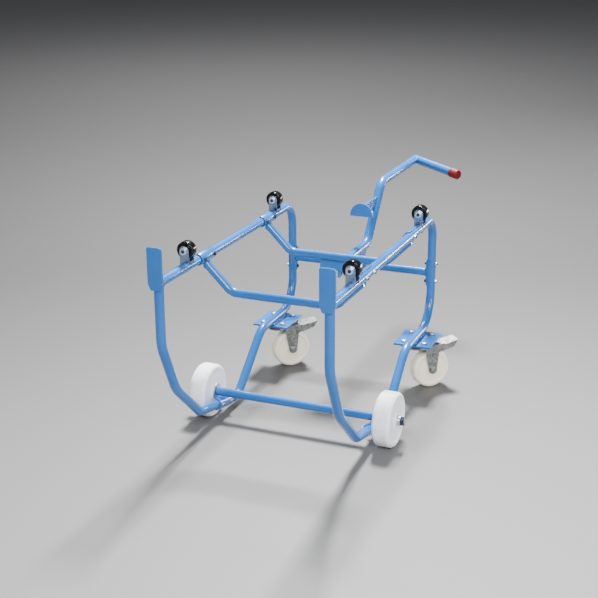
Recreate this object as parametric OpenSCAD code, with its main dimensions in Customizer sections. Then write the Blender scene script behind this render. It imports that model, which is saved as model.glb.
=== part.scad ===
// Tipping drum dolly. Two bent tube side frames are held apart by screwed crossbars and carry four
// drum rollers. It runs on two fixed wheels and two braked swivel casters, and a lift-off lever
// with a rim claw rests on the rear brace. +Y points to the rear, +Z up, and the floor is z = 0.

/* [Side frames] */
// Distance between the side frames, tube centre to tube centre
frame_track = 480; // [440:10:540]
// Outside diameter of the side frame tube
tube_od = 27; // [24:0.5:30]
// Wall of the side frame tube
tube_wall = 2.5; // [2:0.25:3.5]
// Height of the drum rail's centre line
rail_height = 530; // [500:10:620]
// From the front axle forward to the front leg
front_reach = 352; // [330:4:420]
// From the front axle back to the rear post
rear_reach = 560; // [530:10:670]
// Height of the knee where the front leg starts to slope
knee_height = 352; // [300:4:400]
// Lowest height of the tube's centre line, at the rear foot
foot_height = 24; // [22:1:40]

/* [Crossbars] */
// Outside diameter of the crossbars
bar_od = 25; // [20:0.5:27]
// Wall of the crossbars
bar_wall = 2; // [1.5:0.25:3]
// Half length of a drum crossbar's level middle
drop_half = 155; // [110:5:160]
// Height of the drum crossbars' level middle
drop_height = 431; // [390:1:440]
// From the front axle back to the front drum crossbar, negative is forward
front_bar_at = -86; // [-110:1:-30]
// From the front axle back to the rear drum crossbar
rear_bar_at = 346; // [320:1:350]
// Height of the straight rear brace
brace_height = 346; // [320:2:360]
// Length of a saddle along its tube
saddle_length = 84; // [76:1:90]
// Thickness of a saddle
saddle_t = 4; // [3:0.5:5]
// Distance between the two bolts of a saddle
saddle_pitch = 60; // [56:1:64]

/* [Tipping blades] */
// Width of a blade
blade_w = 44; // [36:1:60]
// Thickness of a blade
blade_t = 6; // [4:0.5:8]
// From the rail's centre line up to the top of a blade
blade_rise = 102; // [80:1:130]
// From the rail's centre line down to the tip of a blade
blade_drop = 16; // [14:1:40]

/* [Front wheels] */
// Diameter of the front wheels
wheel_d = 160; // [150:1:200]
// Width of the front wheels
wheel_w = 53; // [40:1:60]
// Diameter of the front axle
axle_d = 16; // [12:1:16]
// Diameter of the steel hub sleeve
hub_d = 28; // [24:1:34]
// How far the hub sleeve stands out of the wheel
hub_out = 8; // [4:1:12]

/* [Drum rollers] */
// Diameter of a drum roller
roller_d = 50; // [44:1:56]
// Width of a drum roller
roller_w = 25; // [18:1:32]
// Height of the roller's axle above the rail's centre line
roller_rise = 47; // [46:1:56]
// From the front axle back to the front rollers, negative is forward
front_roller_at = -189; // [-240:1:-170]
// From the front axle back to the rear rollers
rear_roller_at = 415; // [410:1:440]
// Diameter of the roller axle bolts
roller_bolt_d = 10; // [8:1:12]

/* [Casters] */
// Diameter of a caster wheel
caster_d = 125; // [110:1:125]
// Width of a caster wheel
caster_w = 40; // [30:1:44]
// Height from the floor to the caster's mounting face
caster_height = 160; // [160:1:175]
// Trail, from the swivel axis back to the wheel's axle
caster_trail = 44; // [38:1:50]
// Direction in which both casters trail at rest, turned from +X towards +Y
caster_turn = 44; // [0:1:90]
// From the front axle back to the swivel axes
caster_at = 432; // [400:2:460]
// Diameter of a caster's axle bolt
caster_bolt_d = 12; // [10:1:14]
// Width of the caster mounting plate on the frame
mount_w = 118; // [112:1:130]
// Length of the caster mounting plate on the frame
mount_l = 136; // [124:1:150]
// Thickness of the caster mounting plate on the frame
mount_t = 6; // [4:0.5:8]
// Spacing of the mounting bolts across the dolly
mount_pitch_x = 66; // [62:1:72]
// Spacing of the mounting bolts along the dolly
mount_pitch_y = 86; // [80:1:92]

/* [Lever] */
// Outside diameter of the lever tube
lever_od = 30; // [26:0.5:32]
// Wall of the lever tube
lever_wall = 2.5; // [2:0.25:3.5]
// Height of the lever's lower run
lever_low = 400; // [396:1:410]
// Height of the lever's upper run
lever_high = 577; // [550:1:600]
// Slope of the lever's middle run, in degrees
lever_slope = 51.5; // [42:0.5:60]
// From the front axle back to the lever's lower bend
lever_bend_at = 622; // [604:2:640]
// From the front axle back to the lever's mitred handle
lever_mitre_at = 1152; // [1000:4:1200]
// Length of the handle behind the mitre
handle_length = 232; // [180:4:300]
// Direction of the handle, turned from +X towards +Y
handle_turn = -33; // [-45:1:0]
// How far the handle drops, in degrees
handle_drop = 4; // [0:1:20]
// Width of the rim claw
claw_w = 76; // [60:2:90]
// From the front axle back to the claw's face
claw_at = 562; // [540:2:600]
// Height of the claw's straight edge
claw_height = 506; // [490:1:516]

/* [Fits] */
// Radial running clearance of a pin in its bore
run_gap = 0.06; // [0.02:0.01:0.1]
// Gap between parts that move past each other
side_gap = 0.5; // [0.3:0.1:1]
// Radial clearance of a bolt in its hole
bolt_gap = 0.3; // [0.2:0.1:0.5]

/* [Hidden] */
$fn = 48;

paint = "steelblue";
zinc = "silver";
black = [0.06, 0.06, 0.07];
white_nylon = [0.93, 0.94, 0.97];
cream_nylon = [0.94, 0.92, 0.86];
red = [0.75, 0.16, 0.16];
dark_steel = [0.2, 0.22, 0.25];

tube_r = tube_od / 2;
bar_r = bar_od / 2;
lever_r = lever_od / 2;
bend_thinning = 0.1;
bend_lap = 0.5;
side_x = frame_track / 2;
sides = [-1, 1];

// Lever handle and its mitre
handle_dir = [
    cos(handle_turn) * cos(handle_drop), sin(handle_turn) * cos(handle_drop), -sin(handle_drop)
];
mitre_turn = acos(handle_dir[1]);
mitre_reach = lever_r * tan(mitre_turn / 2);

// Places along the dolly: the origin is midway between the blades' faces and the lever's mitre
front_extent = front_reach + tube_r + blade_t;
rear_extent = lever_mitre_at + mitre_reach;
axle_y = (front_extent - rear_extent) / 2;
leg_y = axle_y - front_reach;
post_y = axle_y + rear_reach;
front_bar_y = axle_y + front_bar_at;
rear_bar_y = axle_y + rear_bar_at;
roller_ys = [axle_y + front_roller_at, axle_y + rear_roller_at];
caster_y = axle_y + caster_at;
axle_z = wheel_d / 2;
roller_z = rail_height + roller_rise;
mount_top = caster_height + mount_t;
run_z = mount_top + tube_r;

// Side frame centre line as [y, z] corners, each with its bend radius
leg_lean = 25;
rocker_front = [axle_y - 147, axle_z - 3];
shin_slope = 42.6;
knee_low_z = (tan(shin_slope) * (rocker_front[0] - leg_y - knee_height * tan(leg_lean))
    + rocker_front[1]) / (1 - tan(shin_slope) * tan(leg_lean));
knee_low_y = leg_y + (knee_height - knee_low_z) * tan(leg_lean);
rear_foot_y = axle_y + 112;
rear_slope = 40;
side_path = [
    [leg_y, rail_height + tube_r],
    [leg_y, knee_height],
    [knee_low_y, knee_low_z],
    rocker_front,
    [rear_foot_y, foot_height],
    [rear_foot_y + (run_z - foot_height) / tan(rear_slope), run_z],
    [post_y, run_z],
    [post_y, rail_height],
    [leg_y, rail_height]
];
side_bends = [0, 120, 120, 45, 50, 90, 100, 70, 0];
rocker_fall = atan2(rocker_front[1] - foot_height, rear_foot_y - rocker_front[0]);
rocker_z = rocker_front[1] - (axle_y - rocker_front[0]) * tan(rocker_fall);

// Drum crossbar centre line as [x, z] corners
drop_end = rail_height - 14;
drop_path = [
    [-side_x, drop_end], [-drop_half, drop_height], [drop_half, drop_height],
    [side_x, drop_end]
];
drop_bends = [0, 45, 45, 0];

// Front axle, counted outwards from the side frame
washer_t = 4;
thrust_x = side_x + tube_r + 0.5;
sleeve_x = thrust_x + washer_t + side_gap;
wheel_x = sleeve_x + side_gap;
sleeve_end = wheel_x + wheel_w + hub_out;
end_washer_x = sleeve_end + side_gap;
end_washer_t = 2.5;
axle_nut_t = 10;
axle_end = end_washer_x + end_washer_t + axle_nut_t + 2;

// Bolts
saddle_bolt_d = 6;
saddle_nut_t = 5.2;
saddle_head_t = 4;
saddle_bolt_af = 10;
mount_bolt_d = 8;
mount_head_t = 5.3;
mount_nut_t = 6.8;
thread_out = 2;

// Roller fork
fork_t = 3;
fork_half = roller_w / 2 + side_gap;
fork_w = 28;
fork_base_z = rail_height + tube_r;
roller_head_t = 6.4;
roller_nut_t = 8;

// Caster, in its own frame: the floor is z = 0, the swivel axis is at x = 0 and +X trails
plate_t = 4;
plate_w = mount_pitch_x + 26;
plate_l = mount_pitch_y + 26;
race_r = 30;
race_t = 4;
race_z = caster_height - plate_t - race_t;
crown_r = 36;
crown_t = 4;
crown_z = race_z - 7 - crown_t;
kingpin_r = 6;
kingpin_head_t = 4;
caster_axle_z = caster_d / 2;
cheek_t = 3;
cheek_gap = caster_w / 2 + 2 + side_gap;
cheek_out = cheek_gap + cheek_t;
sleeve_half = caster_w / 2 + 2;
caster_head_t = 7.5;
caster_nut_t = 8;
pivot_x = caster_trail + 28;
pivot_z = crown_z - 9;
pivot_r = 4;
pedal_w = 46;
pedal_t = 3;
pedal_reach = 134;
pedal_tip_z = pivot_z + 16;
shoe_z = pivot_z - 13.7;

// Lever centre line as [y, z] corners
lever_front_y = rear_bar_y + bar_r + 36;
lever_bend_y = axle_y + lever_bend_at;
lever_top_y = lever_bend_y + (lever_high - lever_low) / tan(lever_slope);
mitre_point = [0, axle_y + lever_mitre_at, lever_high];
lever_path = [
    [lever_front_y, lever_low], [lever_bend_y, lever_low], [lever_top_y, lever_high],
    [mitre_point[1] + 2 * mitre_reach, lever_high]
];
lever_bends = [0, 65, 65, 0];
claw_y = axle_y + claw_at;
claw_t = 8;
rib_t = 8;
hook_half = 60;
cap_length = 36;
cap_wall = 2.5;

// ---- Paths and shapes ----

function unit(v) = v / norm(v);
function along(a, b, d) = a + unit(b - a) * d;
function turn_at(p, i) = acos(unit(p[i] - p[i - 1]) * unit(p[i + 1] - p[i]));
function inset(p, r, i) = r[i] == 0 ? 0 : r[i] * tan(turn_at(p, i) / 2);
function bend_start(p, r, i) = along(p[i], p[i - 1], inset(p, r, i));
function bend_end(p, r, i) = along(p[i], p[i + 1], inset(p, r, i));
function side_of(p, i) = sign(cross(p[i] - p[i - 1], p[i + 1] - p[i]));
function left_of(v) = [-v[1], v[0]];

// Half space beyond a point, on the side that the direction points to
module beyond(point, direction) {
    size = 400;
    n = unit(direction);
    translate(point)
        rotate([0, acos(n[2]), atan2(n[1], n[0])])
            translate([-size / 2, -size / 2, 0]) cube([size, size, size]);
}

// Straight round bar between two points of a flat path
module straight(a, b, r) {
    d = b - a;
    translate([a[0], a[1], 0])
        rotate([0, 90, atan2(d[1], d[0])]) cylinder(r = r, h = norm(d));
}

// Straight pipe between two points of a flat path, reaching a little into an elbow at either end
module straight_pipe(a, b, r, wall, lap_a, lap_b) {
    d = b - a;
    from = a - unit(d) * lap_a;
    length = norm(d) + lap_a + lap_b;
    translate([from[0], from[1], 0]) rotate([0, 90, atan2(d[1], d[0])]) difference() {
        cylinder(r = r, h = length);
        translate([0, 0, -1]) cylinder(r = r - wall, h = length + 2);
    }
}

// Pipe elbow at corner i of a flat path, a hair thinner than the straight runs it joins
module elbow(path, bends, i, r, wall) {
    start = bend_start(path, bends, i);
    turn = turn_at(path, i);
    side = side_of(path, i);
    centre = start + left_of(unit(path[i] - path[i - 1])) * side * bends[i];
    from = start - centre;
    first = atan2(from[1], from[0]) - (side > 0 ? 0 : turn);
    translate([centre[0], centre[1], 0])
        rotate([0, 0, first]) rotate_extrude(angle = turn) translate([bends[i], 0]) difference() {
            circle(r = r - bend_thinning);
            circle(r = r - wall + bend_thinning);
        }
}

// Bent pipe along a flat path, from its first to its last named corner. Each corner brings the
// straight run after it, and the path's first corner also brings the run before it.
module bent_pipe(path, bends, first, last, r, wall) {
    if (first == 1) straight_pipe(path[0], bend_start(path, bends, 1), r, wall, 0, bend_lap);
    for (i = [first:last]) {
        elbow(path, bends, i, r, wall);
        next = i + 1 == len(path) - 1 ? path[i + 1] : bend_start(path, bends, i + 1);
        straight_pipe(bend_end(path, bends, i), next, r, wall, bend_lap, i < last ? bend_lap : 0);
    }
}

// Turns a flat [y, z] path upright at a place across the dolly
module at_side(x) {
    translate([x, 0, 0]) rotate([90, 0, 90]) children();
}

// Turns a flat [x, z] path upright at a place along the dolly
module at_length(y) {
    translate([0, y, 0]) rotate([90, 0, 0]) children();
}

// Round bar along X
module bar_x(x0, x1, r) {
    translate([x0, 0, 0]) rotate([0, 90, 0]) cylinder(r = r, h = x1 - x0);
}

// Hexagon prism along Z, sized across its flats
module hexagon(flats, h) {
    cylinder(r = flats / sqrt(3), h = h, $fn = 6);
}

// Nut along Z, sized across its flats, with a bore
module nut(flats, bore_d, h) {
    difference() {
        hexagon(flats, h);
        translate([0, 0, -1]) cylinder(r = bore_d / 2, h = h + 2);
    }
}

// Half of a wheel's section, with rounded shoulders and a dished face on both sides
module wheel_section(r_in, r_out, w, shoulder, dish, hub_r, rim_r) {
    difference() {
        union() {
            translate([r_in, -w / 2]) square([r_out - shoulder - r_in, w]);
            translate([r_in, -w / 2 + shoulder]) square([r_out - r_in, w - 2 * shoulder]);
            for (s = sides) translate([r_out - shoulder, s * (w / 2 - shoulder)])
                circle(r = shoulder);
        }
        for (s = sides) translate([hub_r, s > 0 ? w / 2 - dish : -w / 2 - 1])
            square([rim_r - hub_r, dish + 1]);
    }
}

// ---- Side frames ----

// The saddle seats on one rail and post: the tube lies along local Z and the bolts along local X
module at_saddles(side) {
    for (y = [front_bar_y, rear_bar_y])
        translate([side * side_x, y, rail_height]) rotate([90, 0, 0]) children();
    translate([side * side_x, post_y, brace_height]) children();
}

module at_axle_saddle(side) {
    translate([side * side_x, axle_y, rocker_z]) rotate([90 - rocker_fall, 0, 0]) children();
}

module saddle_hole_pair() {
    reach = tube_r + saddle_t + 2;
    for (s = sides) translate([-reach, 0, s * saddle_pitch / 2]) rotate([0, 90, 0])
        cylinder(r = saddle_bolt_d / 2 + bolt_gap, h = 2 * reach);
}

module saddle_holes(side) {
    at_saddles(side) saddle_hole_pair();
    at_axle_saddle(side) saddle_hole_pair();
}

module side_run(side, first, last) {
    difference() {
        at_side(side * side_x) bent_pipe(side_path, side_bends, first, last, tube_r, tube_wall);
        saddle_holes(side);
    }
}

module front_leg(side) {
    cap = 3;
    color(paint) {
        side_run(side, 1, 2);
        translate([side * side_x, leg_y, rail_height + tube_r - cap])
            cylinder(r = tube_r - tube_wall, h = cap);
    }
}

module rocker_tube(side) {
    color(paint) side_run(side, 3, 4);
}

module rear_leg(side) {
    color(paint) side_run(side, 5, 6);
}

module drum_rail(side) {
    color(paint) difference() {
        side_run(side, 7, 7);
        translate([side * side_x, leg_y, rail_height - 2 * tube_od])
            cylinder(r = tube_r, h = 4 * tube_od);
    }
}

module tipping_blade(side) {
    top = rail_height + blade_rise;
    tip = rail_height - blade_drop;
    corner = 4;
    half = blade_w / 2;
    color(paint) translate([side * side_x, leg_y - tube_r, 0]) rotate([90, 0, 0])
        linear_extrude(blade_t) polygon([
            [-tube_r, tip], [tube_r, tip], [half, tip + 18], [half, top - corner],
            [half - corner, top], [corner - half, top], [-half, top - corner], [-half, tip + 18]
        ]);
}

module mount_holes(r, z0, z1) {
    for (sx = sides, sy = sides)
        translate([sx * mount_pitch_x / 2, sy * mount_pitch_y / 2, z0])
            cylinder(r = r, h = z1 - z0);
}

module caster_mount(side) {
    color(paint) translate([side * side_x, caster_y, 0]) difference() {
        translate([-mount_w / 2, -mount_l / 2, caster_height]) cube([mount_w, mount_l, mount_t]);
        mount_holes(mount_bolt_d / 2 + bolt_gap, caster_height - 1, mount_top + 1);
    }
}

// ---- Crossbars and saddles ----

module axle_bar() {
    color(paint) translate([0, axle_y, axle_z]) difference() {
        bar_x(-thrust_x, thrust_x, bar_r);
        bar_x(-thrust_x - 1, thrust_x + 1, axle_d / 2 + run_gap);
    }
}

// Cuts away what would reach into the saddles at the ends of a crossbar
module clear_of_tubes(y) {
    for (side = sides) translate([side * side_x, y + saddle_length, rail_height])
        rotate([90, 0, 0]) cylinder(r = tube_r + saddle_t, h = 2 * saddle_length);
}

module drum_crossbar(y) {
    color(paint) difference() {
        at_length(y) bent_pipe(drop_path, drop_bends, 1, 2, bar_r, bar_wall);
        clear_of_tubes(y);
    }
}

module rear_brace() {
    color(paint) difference() {
        translate([0, post_y, brace_height]) difference() {
            bar_x(-side_x, side_x, bar_r);
            bar_x(-side_x - 1, side_x + 1, bar_r - bar_wall);
        }
        for (side = sides) translate([side * side_x, post_y, brace_height - saddle_length])
            cylinder(r = tube_r + saddle_t, h = 2 * saddle_length);
    }
}

// Half shell around the inner side of a tube along Z, for the side frame on the given side
module saddle(side) {
    lap = 2;
    outer = tube_r + saddle_t;
    difference() {
        translate([0, 0, -saddle_length / 2]) intersection() {
            cylinder(r = outer, h = saddle_length);
            translate([side > 0 ? -outer : -lap, -outer, 0])
                cube([outer + lap, 2 * outer, saddle_length]);
        }
        translate([0, 0, -saddle_length]) cylinder(r = tube_r, h = 2 * saddle_length);
        saddle_hole_pair();
    }
}

module rail_saddles() {
    color(paint) for (side = sides, y = [front_bar_y, rear_bar_y])
        translate([side * side_x, y, rail_height]) rotate([90, 0, 0]) saddle(side);
}

module post_saddles() {
    color(paint) for (side = sides)
        translate([side * side_x, post_y, brace_height]) saddle(side);
}

module axle_saddles() {
    color(paint) for (side = sides) difference() {
        translate([side * side_x, axle_y, rocker_z])
            rotate([90 - rocker_fall, 0, 0]) saddle(side);
        translate([0, axle_y, axle_z]) bar_x(-thrust_x - 1, thrust_x + 1, bar_r);
    }
}

// Saddle bolt through the tube along local X, with its head seated at the signed reach a
// and its nut at the signed reach b on the other side
module saddle_bolt(a, b) {
    way = sign(a);
    length = abs(a) + abs(b) + saddle_nut_t + thread_out;
    for (s = sides) translate([a, 0, s * saddle_pitch / 2]) {
        rotate([0, -90 * way, 0]) cylinder(r = saddle_bolt_d / 2, h = length);
        rotate([0, 90 * way, 0]) hexagon(saddle_bolt_af, saddle_head_t);
    }
}

module saddle_nut(b) {
    for (s = sides) translate([b, 0, s * saddle_pitch / 2])
        rotate([0, 90 * sign(b), 0]) nut(saddle_bolt_af, saddle_bolt_d, saddle_nut_t);
}

// The heads are on the inner side, except on the rocker, where only a head clears the wheel
module saddle_bolts() {
    seat = tube_r + saddle_t;
    color(dark_steel) for (side = sides) {
        at_saddles(side) saddle_bolt(-side * seat, side * tube_r);
        at_axle_saddle(side) saddle_bolt(side * tube_r, -side * seat);
    }
}

module saddle_nuts() {
    seat = tube_r + saddle_t;
    color(zinc) for (side = sides) {
        at_saddles(side) saddle_nut(side * tube_r);
        at_axle_saddle(side) saddle_nut(-side * seat);
    }
}

// ---- Drum rollers ----

// Folded fork that straddles the rail, with the roller's axle along Y
module roller_fork(side, y) {
    depth = 2 * (fork_half + fork_t);
    skirt_z = rail_height + 6;
    color(zinc) difference() {
        translate([side * side_x, y, 0]) difference() {
            union() {
                translate([-fork_w / 2, -depth / 2, fork_base_z])
                    cube([fork_w, depth, fork_t]);
                for (s = sides) translate([0, s * (fork_half + fork_t / 2), 0])
                    rotate([90, 0, 0]) linear_extrude(fork_t, center = true) union() {
                        translate([-fork_w / 2, skirt_z]) square([fork_w, roller_z - skirt_z]);
                        translate([0, roller_z]) circle(r = fork_w / 2);
                    }
            }
            translate([0, depth, roller_z]) rotate([90, 0, 0])
                cylinder(r = roller_bolt_d / 2 + bolt_gap, h = 2 * depth);
        }
        translate([side * side_x, y + depth, rail_height]) rotate([90, 0, 0])
            cylinder(r = tube_r, h = 2 * depth);
    }
}

module drum_roller(side, y) {
    color(black) translate([side * side_x, y, roller_z]) rotate([90, 0, 0])
        rotate_extrude() wheel_section(
            roller_bolt_d / 2 + run_gap, roller_d / 2, roller_w, 3, 1.5,
            roller_bolt_d / 2 + 5, roller_d / 2 - 6
        );
}

module at_rollers() {
    for (side = sides, y = roller_ys)
        translate([side * side_x, y, roller_z]) rotate([90, 0, 0]) children();
}

// Roller bolts with their heads towards the rear
module roller_bolts() {
    seat = fork_half + fork_t;
    color(zinc) at_rollers() {
        translate([0, 0, -seat]) cylinder(
            r = roller_bolt_d / 2, h = 2 * seat + roller_nut_t + thread_out
        );
        translate([0, 0, -seat - roller_head_t]) hexagon(17, roller_head_t);
    }
}

module roller_nuts() {
    color(zinc) at_rollers() translate([0, 0, fork_half + fork_t])
        nut(17, roller_bolt_d, roller_nut_t);
}

// ---- Front wheels and axle ----

module front_wheel(side) {
    color(white_nylon) translate([side * (wheel_x + wheel_w / 2), axle_y, axle_z])
        rotate([0, 90, 0]) rotate_extrude() wheel_section(
            hub_d / 2, wheel_d / 2, wheel_w, 9, 3, hub_d / 2 + 8, wheel_d / 2 - 17
        );
}

// Draws its children on one side of the axle, with +X pointing outwards
module on_axle(side) {
    translate([0, axle_y, axle_z]) mirror([side > 0 ? 0 : 1, 0, 0]) children();
}

module hub_sleeve(side) {
    color(zinc) on_axle(side) difference() {
        bar_x(sleeve_x, sleeve_end, hub_d / 2);
        bar_x(sleeve_x - 1, sleeve_end + 1, axle_d / 2 + run_gap);
    }
}

module front_axle() {
    color(zinc) translate([0, axle_y, axle_z]) bar_x(-axle_end, axle_end, axle_d / 2);
}

module axle_washers() {
    color(zinc) for (side = sides) on_axle(side) {
        difference() {
            bar_x(thrust_x, thrust_x + washer_t, 23);
            bar_x(thrust_x - 1, thrust_x + washer_t + 1, axle_d / 2 + bolt_gap);
        }
        difference() {
            bar_x(end_washer_x, end_washer_x + end_washer_t, 15);
            bar_x(end_washer_x - 1, end_washer_x + end_washer_t + 1, axle_d / 2 + bolt_gap);
        }
    }
}

module axle_nuts() {
    color(zinc) for (side = sides) on_axle(side)
        translate([end_washer_x + end_washer_t, 0, 0]) rotate([0, 90, 0])
            nut(24, axle_d, axle_nut_t);
}

// ---- Casters ----

module caster_frame(side) {
    translate([side * side_x, caster_y, 0]) rotate([0, 0, caster_turn]) children();
}

// Top plate with its pressed race and the riveted kingpin
module caster_plate(side) {
    color(zinc) translate([side * side_x, caster_y, 0]) {
        difference() {
            translate([-plate_w / 2, -plate_l / 2, caster_height - plate_t])
                cube([plate_w, plate_l, plate_t]);
            mount_holes(
                mount_bolt_d / 2 + bolt_gap, caster_height - plate_t - 1, caster_height + 1
            );
        }
        translate([0, 0, race_z]) cylinder(r = race_r, h = race_t + 1);
        translate([0, 0, crown_z - side_gap - kingpin_head_t]) cylinder(
            r = kingpin_r, h = race_z - crown_z + side_gap + kingpin_head_t + 1
        );
        translate([0, 0, crown_z - side_gap - kingpin_head_t])
            cylinder(r = kingpin_r + 5, h = kingpin_head_t);
    }
}

// Side outline of a fork cheek: it tapers from the crown to the axle and carries the pedal pivot
module cheek_outline() {
    boss = caster_bolt_d / 2 + 8;
    translate([caster_trail, caster_axle_z]) circle(r = boss);
    polygon([
        [caster_trail - boss, caster_axle_z], [caster_trail + boss, caster_axle_z],
        [caster_trail + 20, pivot_z - 14], [pivot_x + 9, pivot_z - 8],
        [pivot_x + 9, crown_z + crown_t], [caster_trail - 30, crown_z + crown_t]
    ]);
}

module caster_fork(side) {
    color(zinc) caster_frame(side) difference() {
        union() {
            translate([0, 0, crown_z]) cylinder(r = crown_r, h = crown_t);
            translate([0, -cheek_out, crown_z]) cube([pivot_x - 4, 2 * cheek_out, crown_t]);
            translate([0, 0, crown_z]) cylinder(r = 24, h = race_z - crown_z - side_gap);
            for (s = sides) translate([0, s * (cheek_gap + cheek_t / 2), 0]) rotate([90, 0, 0])
                linear_extrude(cheek_t, center = true) cheek_outline();
        }
        translate([0, 0, crown_z - 1])
            cylinder(r = kingpin_r + run_gap, h = race_z - crown_z + 2);
        translate([caster_trail, cheek_out + 1, caster_axle_z]) rotate([90, 0, 0])
            cylinder(r = caster_bolt_d / 2 + bolt_gap, h = 2 * cheek_out + 2);
        translate([pivot_x, cheek_out + 1, pivot_z]) rotate([90, 0, 0])
            cylinder(r = pivot_r + run_gap, h = 2 * cheek_out + 2);
    }
}

module swivel_seal(side) {
    seal_h = race_z - crown_z - crown_t - side_gap;
    color(red) caster_frame(side) translate([0, 0, crown_z + crown_t]) difference() {
        cylinder(r = crown_r - 1, h = seal_h);
        translate([0, 0, -1]) cylinder(r = 24, h = seal_h + 2);
    }
}

module caster_axle_frame(side) {
    caster_frame(side) translate([caster_trail, 0, caster_axle_z]) rotate([90, 0, 0]) children();
}

module caster_wheel(side) {
    color(cream_nylon) caster_axle_frame(side) rotate_extrude() wheel_section(
        10, caster_d / 2, caster_w, 7, 6, 22, caster_d / 2 - 13
    );
}

module caster_sleeve(side) {
    color(zinc) caster_axle_frame(side) translate([0, 0, -sleeve_half]) difference() {
        cylinder(r = 10, h = 2 * sleeve_half);
        translate([0, 0, -1]) cylinder(r = caster_bolt_d / 2 + run_gap, h = 2 * sleeve_half + 2);
    }
}

// Axle bolt with its nut, as two solids
module caster_bolt(side) {
    color(zinc) caster_axle_frame(side) {
        translate([0, 0, -cheek_out]) cylinder(
            r = caster_bolt_d / 2, h = 2 * cheek_out + caster_nut_t + thread_out
        );
        translate([0, 0, -cheek_out - caster_head_t]) hexagon(19, caster_head_t);
        translate([0, 0, cheek_out]) nut(19, caster_bolt_d, caster_nut_t);
    }
}

// Brake pedal: tread, two wedge cheeks, the pivot pin and the brake shoe
module brake_pedal(side) {
    wedge = [
        [pivot_x - 8, pivot_z + 4], [pivot_x - 8, pivot_z - 8], [pivot_x + 12, pivot_z - 13],
        [pedal_reach - 14, pivot_z - 3], [pedal_reach - 4, pedal_tip_z - 4],
        [pedal_reach - 4, pedal_tip_z + 1], [pivot_x, pivot_z + 5]
    ];
    tread_fall = atan2(pivot_z + 4 - pedal_tip_z, pedal_reach - 4 - pivot_x);
    tread_from = 15;
    tread_length = (pedal_reach - pivot_x) / cos(tread_fall);
    corner = 10;
    color(zinc) caster_frame(side) {
        for (s = sides) translate([0, s * (cheek_gap - 4), 0]) rotate([90, 0, 0])
            linear_extrude(3, center = true) polygon(wedge);
        translate([pivot_x, cheek_out, pivot_z]) rotate([90, 0, 0])
            cylinder(r = pivot_r, h = 2 * cheek_out);
        translate([pivot_x, 0, pivot_z + 4]) rotate([0, tread_fall, 0]) linear_extrude(pedal_t)
            union() {
                translate([tread_from, -pedal_w / 2])
                    square([tread_length - tread_from - corner, pedal_w]);
                translate([0, corner - pedal_w / 2])
                    square([tread_length, pedal_w - 2 * corner]);
                for (s = sides) translate([tread_length - corner, s * (pedal_w / 2 - corner)])
                    circle(r = corner);
            }
        translate([pivot_x + 6, -cheek_gap + 4, shoe_z]) cube([
            8, 2 * cheek_gap - 8, pivot_z - shoe_z - 2
        ]);
    }
}

module mount_bolts() {
    length = mount_t + plate_t + mount_nut_t + thread_out;
    color(zinc) for (side = sides, sx = sides, sy = sides)
        translate([
            side * side_x + sx * mount_pitch_x / 2, caster_y + sy * mount_pitch_y / 2, mount_top
        ]) {
            translate([0, 0, -length]) cylinder(r = mount_bolt_d / 2, h = length);
            hexagon(13, mount_head_t);
        }
}

module mount_nuts() {
    color(zinc) for (side = sides, sx = sides, sy = sides)
        translate([
            side * side_x + sx * mount_pitch_x / 2, caster_y + sy * mount_pitch_y / 2,
            caster_height - plate_t - mount_nut_t
        ]) nut(13, mount_bolt_d, mount_nut_t);
}

// ---- Lever ----

module lever_tube() {
    color(paint) difference() {
        at_side(0) bent_pipe(lever_path, lever_bends, 1, 2, lever_r, lever_wall);
        beyond(mitre_point, [0, 1, 0] + handle_dir);
    }
}

// Draws its children along the handle, with +Z from the mitre to the handle's end
module along_handle() {
    translate(mitre_point)
        rotate([0, 90 + handle_drop, handle_turn]) children();
}

module lever_handle() {
    back = 2 * mitre_reach;
    color(paint) difference() {
        along_handle() translate([0, 0, -back]) difference() {
            cylinder(r = lever_r, h = handle_length + back);
            translate([0, 0, -1]) cylinder(r = lever_r - lever_wall, h = handle_length + back + 2);
        }
        beyond(mitre_point, -([0, 1, 0] + handle_dir));
    }
}

module lever_cap() {
    start = handle_length - cap_length + cap_wall;
    color(red) along_handle() translate([0, 0, start]) difference() {
        cylinder(r = lever_r + cap_wall, h = cap_length);
        translate([0, 0, -1]) cylinder(r = lever_r, h = cap_length - cap_wall + 1);
    }
}

// Rim claw: a half round plate and the rib that joins it to the lever
module lever_claw() {
    straight_h = 5;
    rib_top = claw_height + claw_w / 2 - 6;
    color(paint) difference() {
        union() {
            translate([0, claw_y + claw_t, claw_height]) rotate([90, 0, 0])
                linear_extrude(claw_t) union() {
                    translate([-claw_w / 2, 0]) square([claw_w, straight_h]);
                    intersection() {
                        translate([0, straight_h]) circle(r = claw_w / 2);
                        translate([-claw_w / 2, 0]) square([claw_w, claw_w]);
                    }
                }
            at_side(-rib_t / 2) linear_extrude(rib_t) polygon([
                [claw_y + claw_t, claw_height + 2], [claw_y + claw_t, rib_top],
                [lever_bend_y + (rib_top - lever_low) / tan(lever_slope), rib_top],
                [lever_bend_y + (claw_height - lever_low) / tan(lever_slope), claw_height + 2]
            ]);
        }
        at_side(0) straight(lever_path[1], lever_path[2], lever_r);
    }
}

// Cross piece that bears up against the rear drum crossbar, with its hanging web
module lever_hook() {
    top = drop_height - bar_r - side_gap;
    height = 33;
    front = rear_bar_y + 4;
    color(paint) difference() {
        union() {
            translate([-hook_half, front, top - height])
                cube([2 * hook_half, lever_front_y - front, height]);
            translate([-4, front + 6, top - height - 24]) cube([8, 26, 24]);
        }
        translate([-5, front + 19, top - height - 12]) rotate([0, 90, 0]) cylinder(r = 5, h = 10);
    }
}

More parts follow.
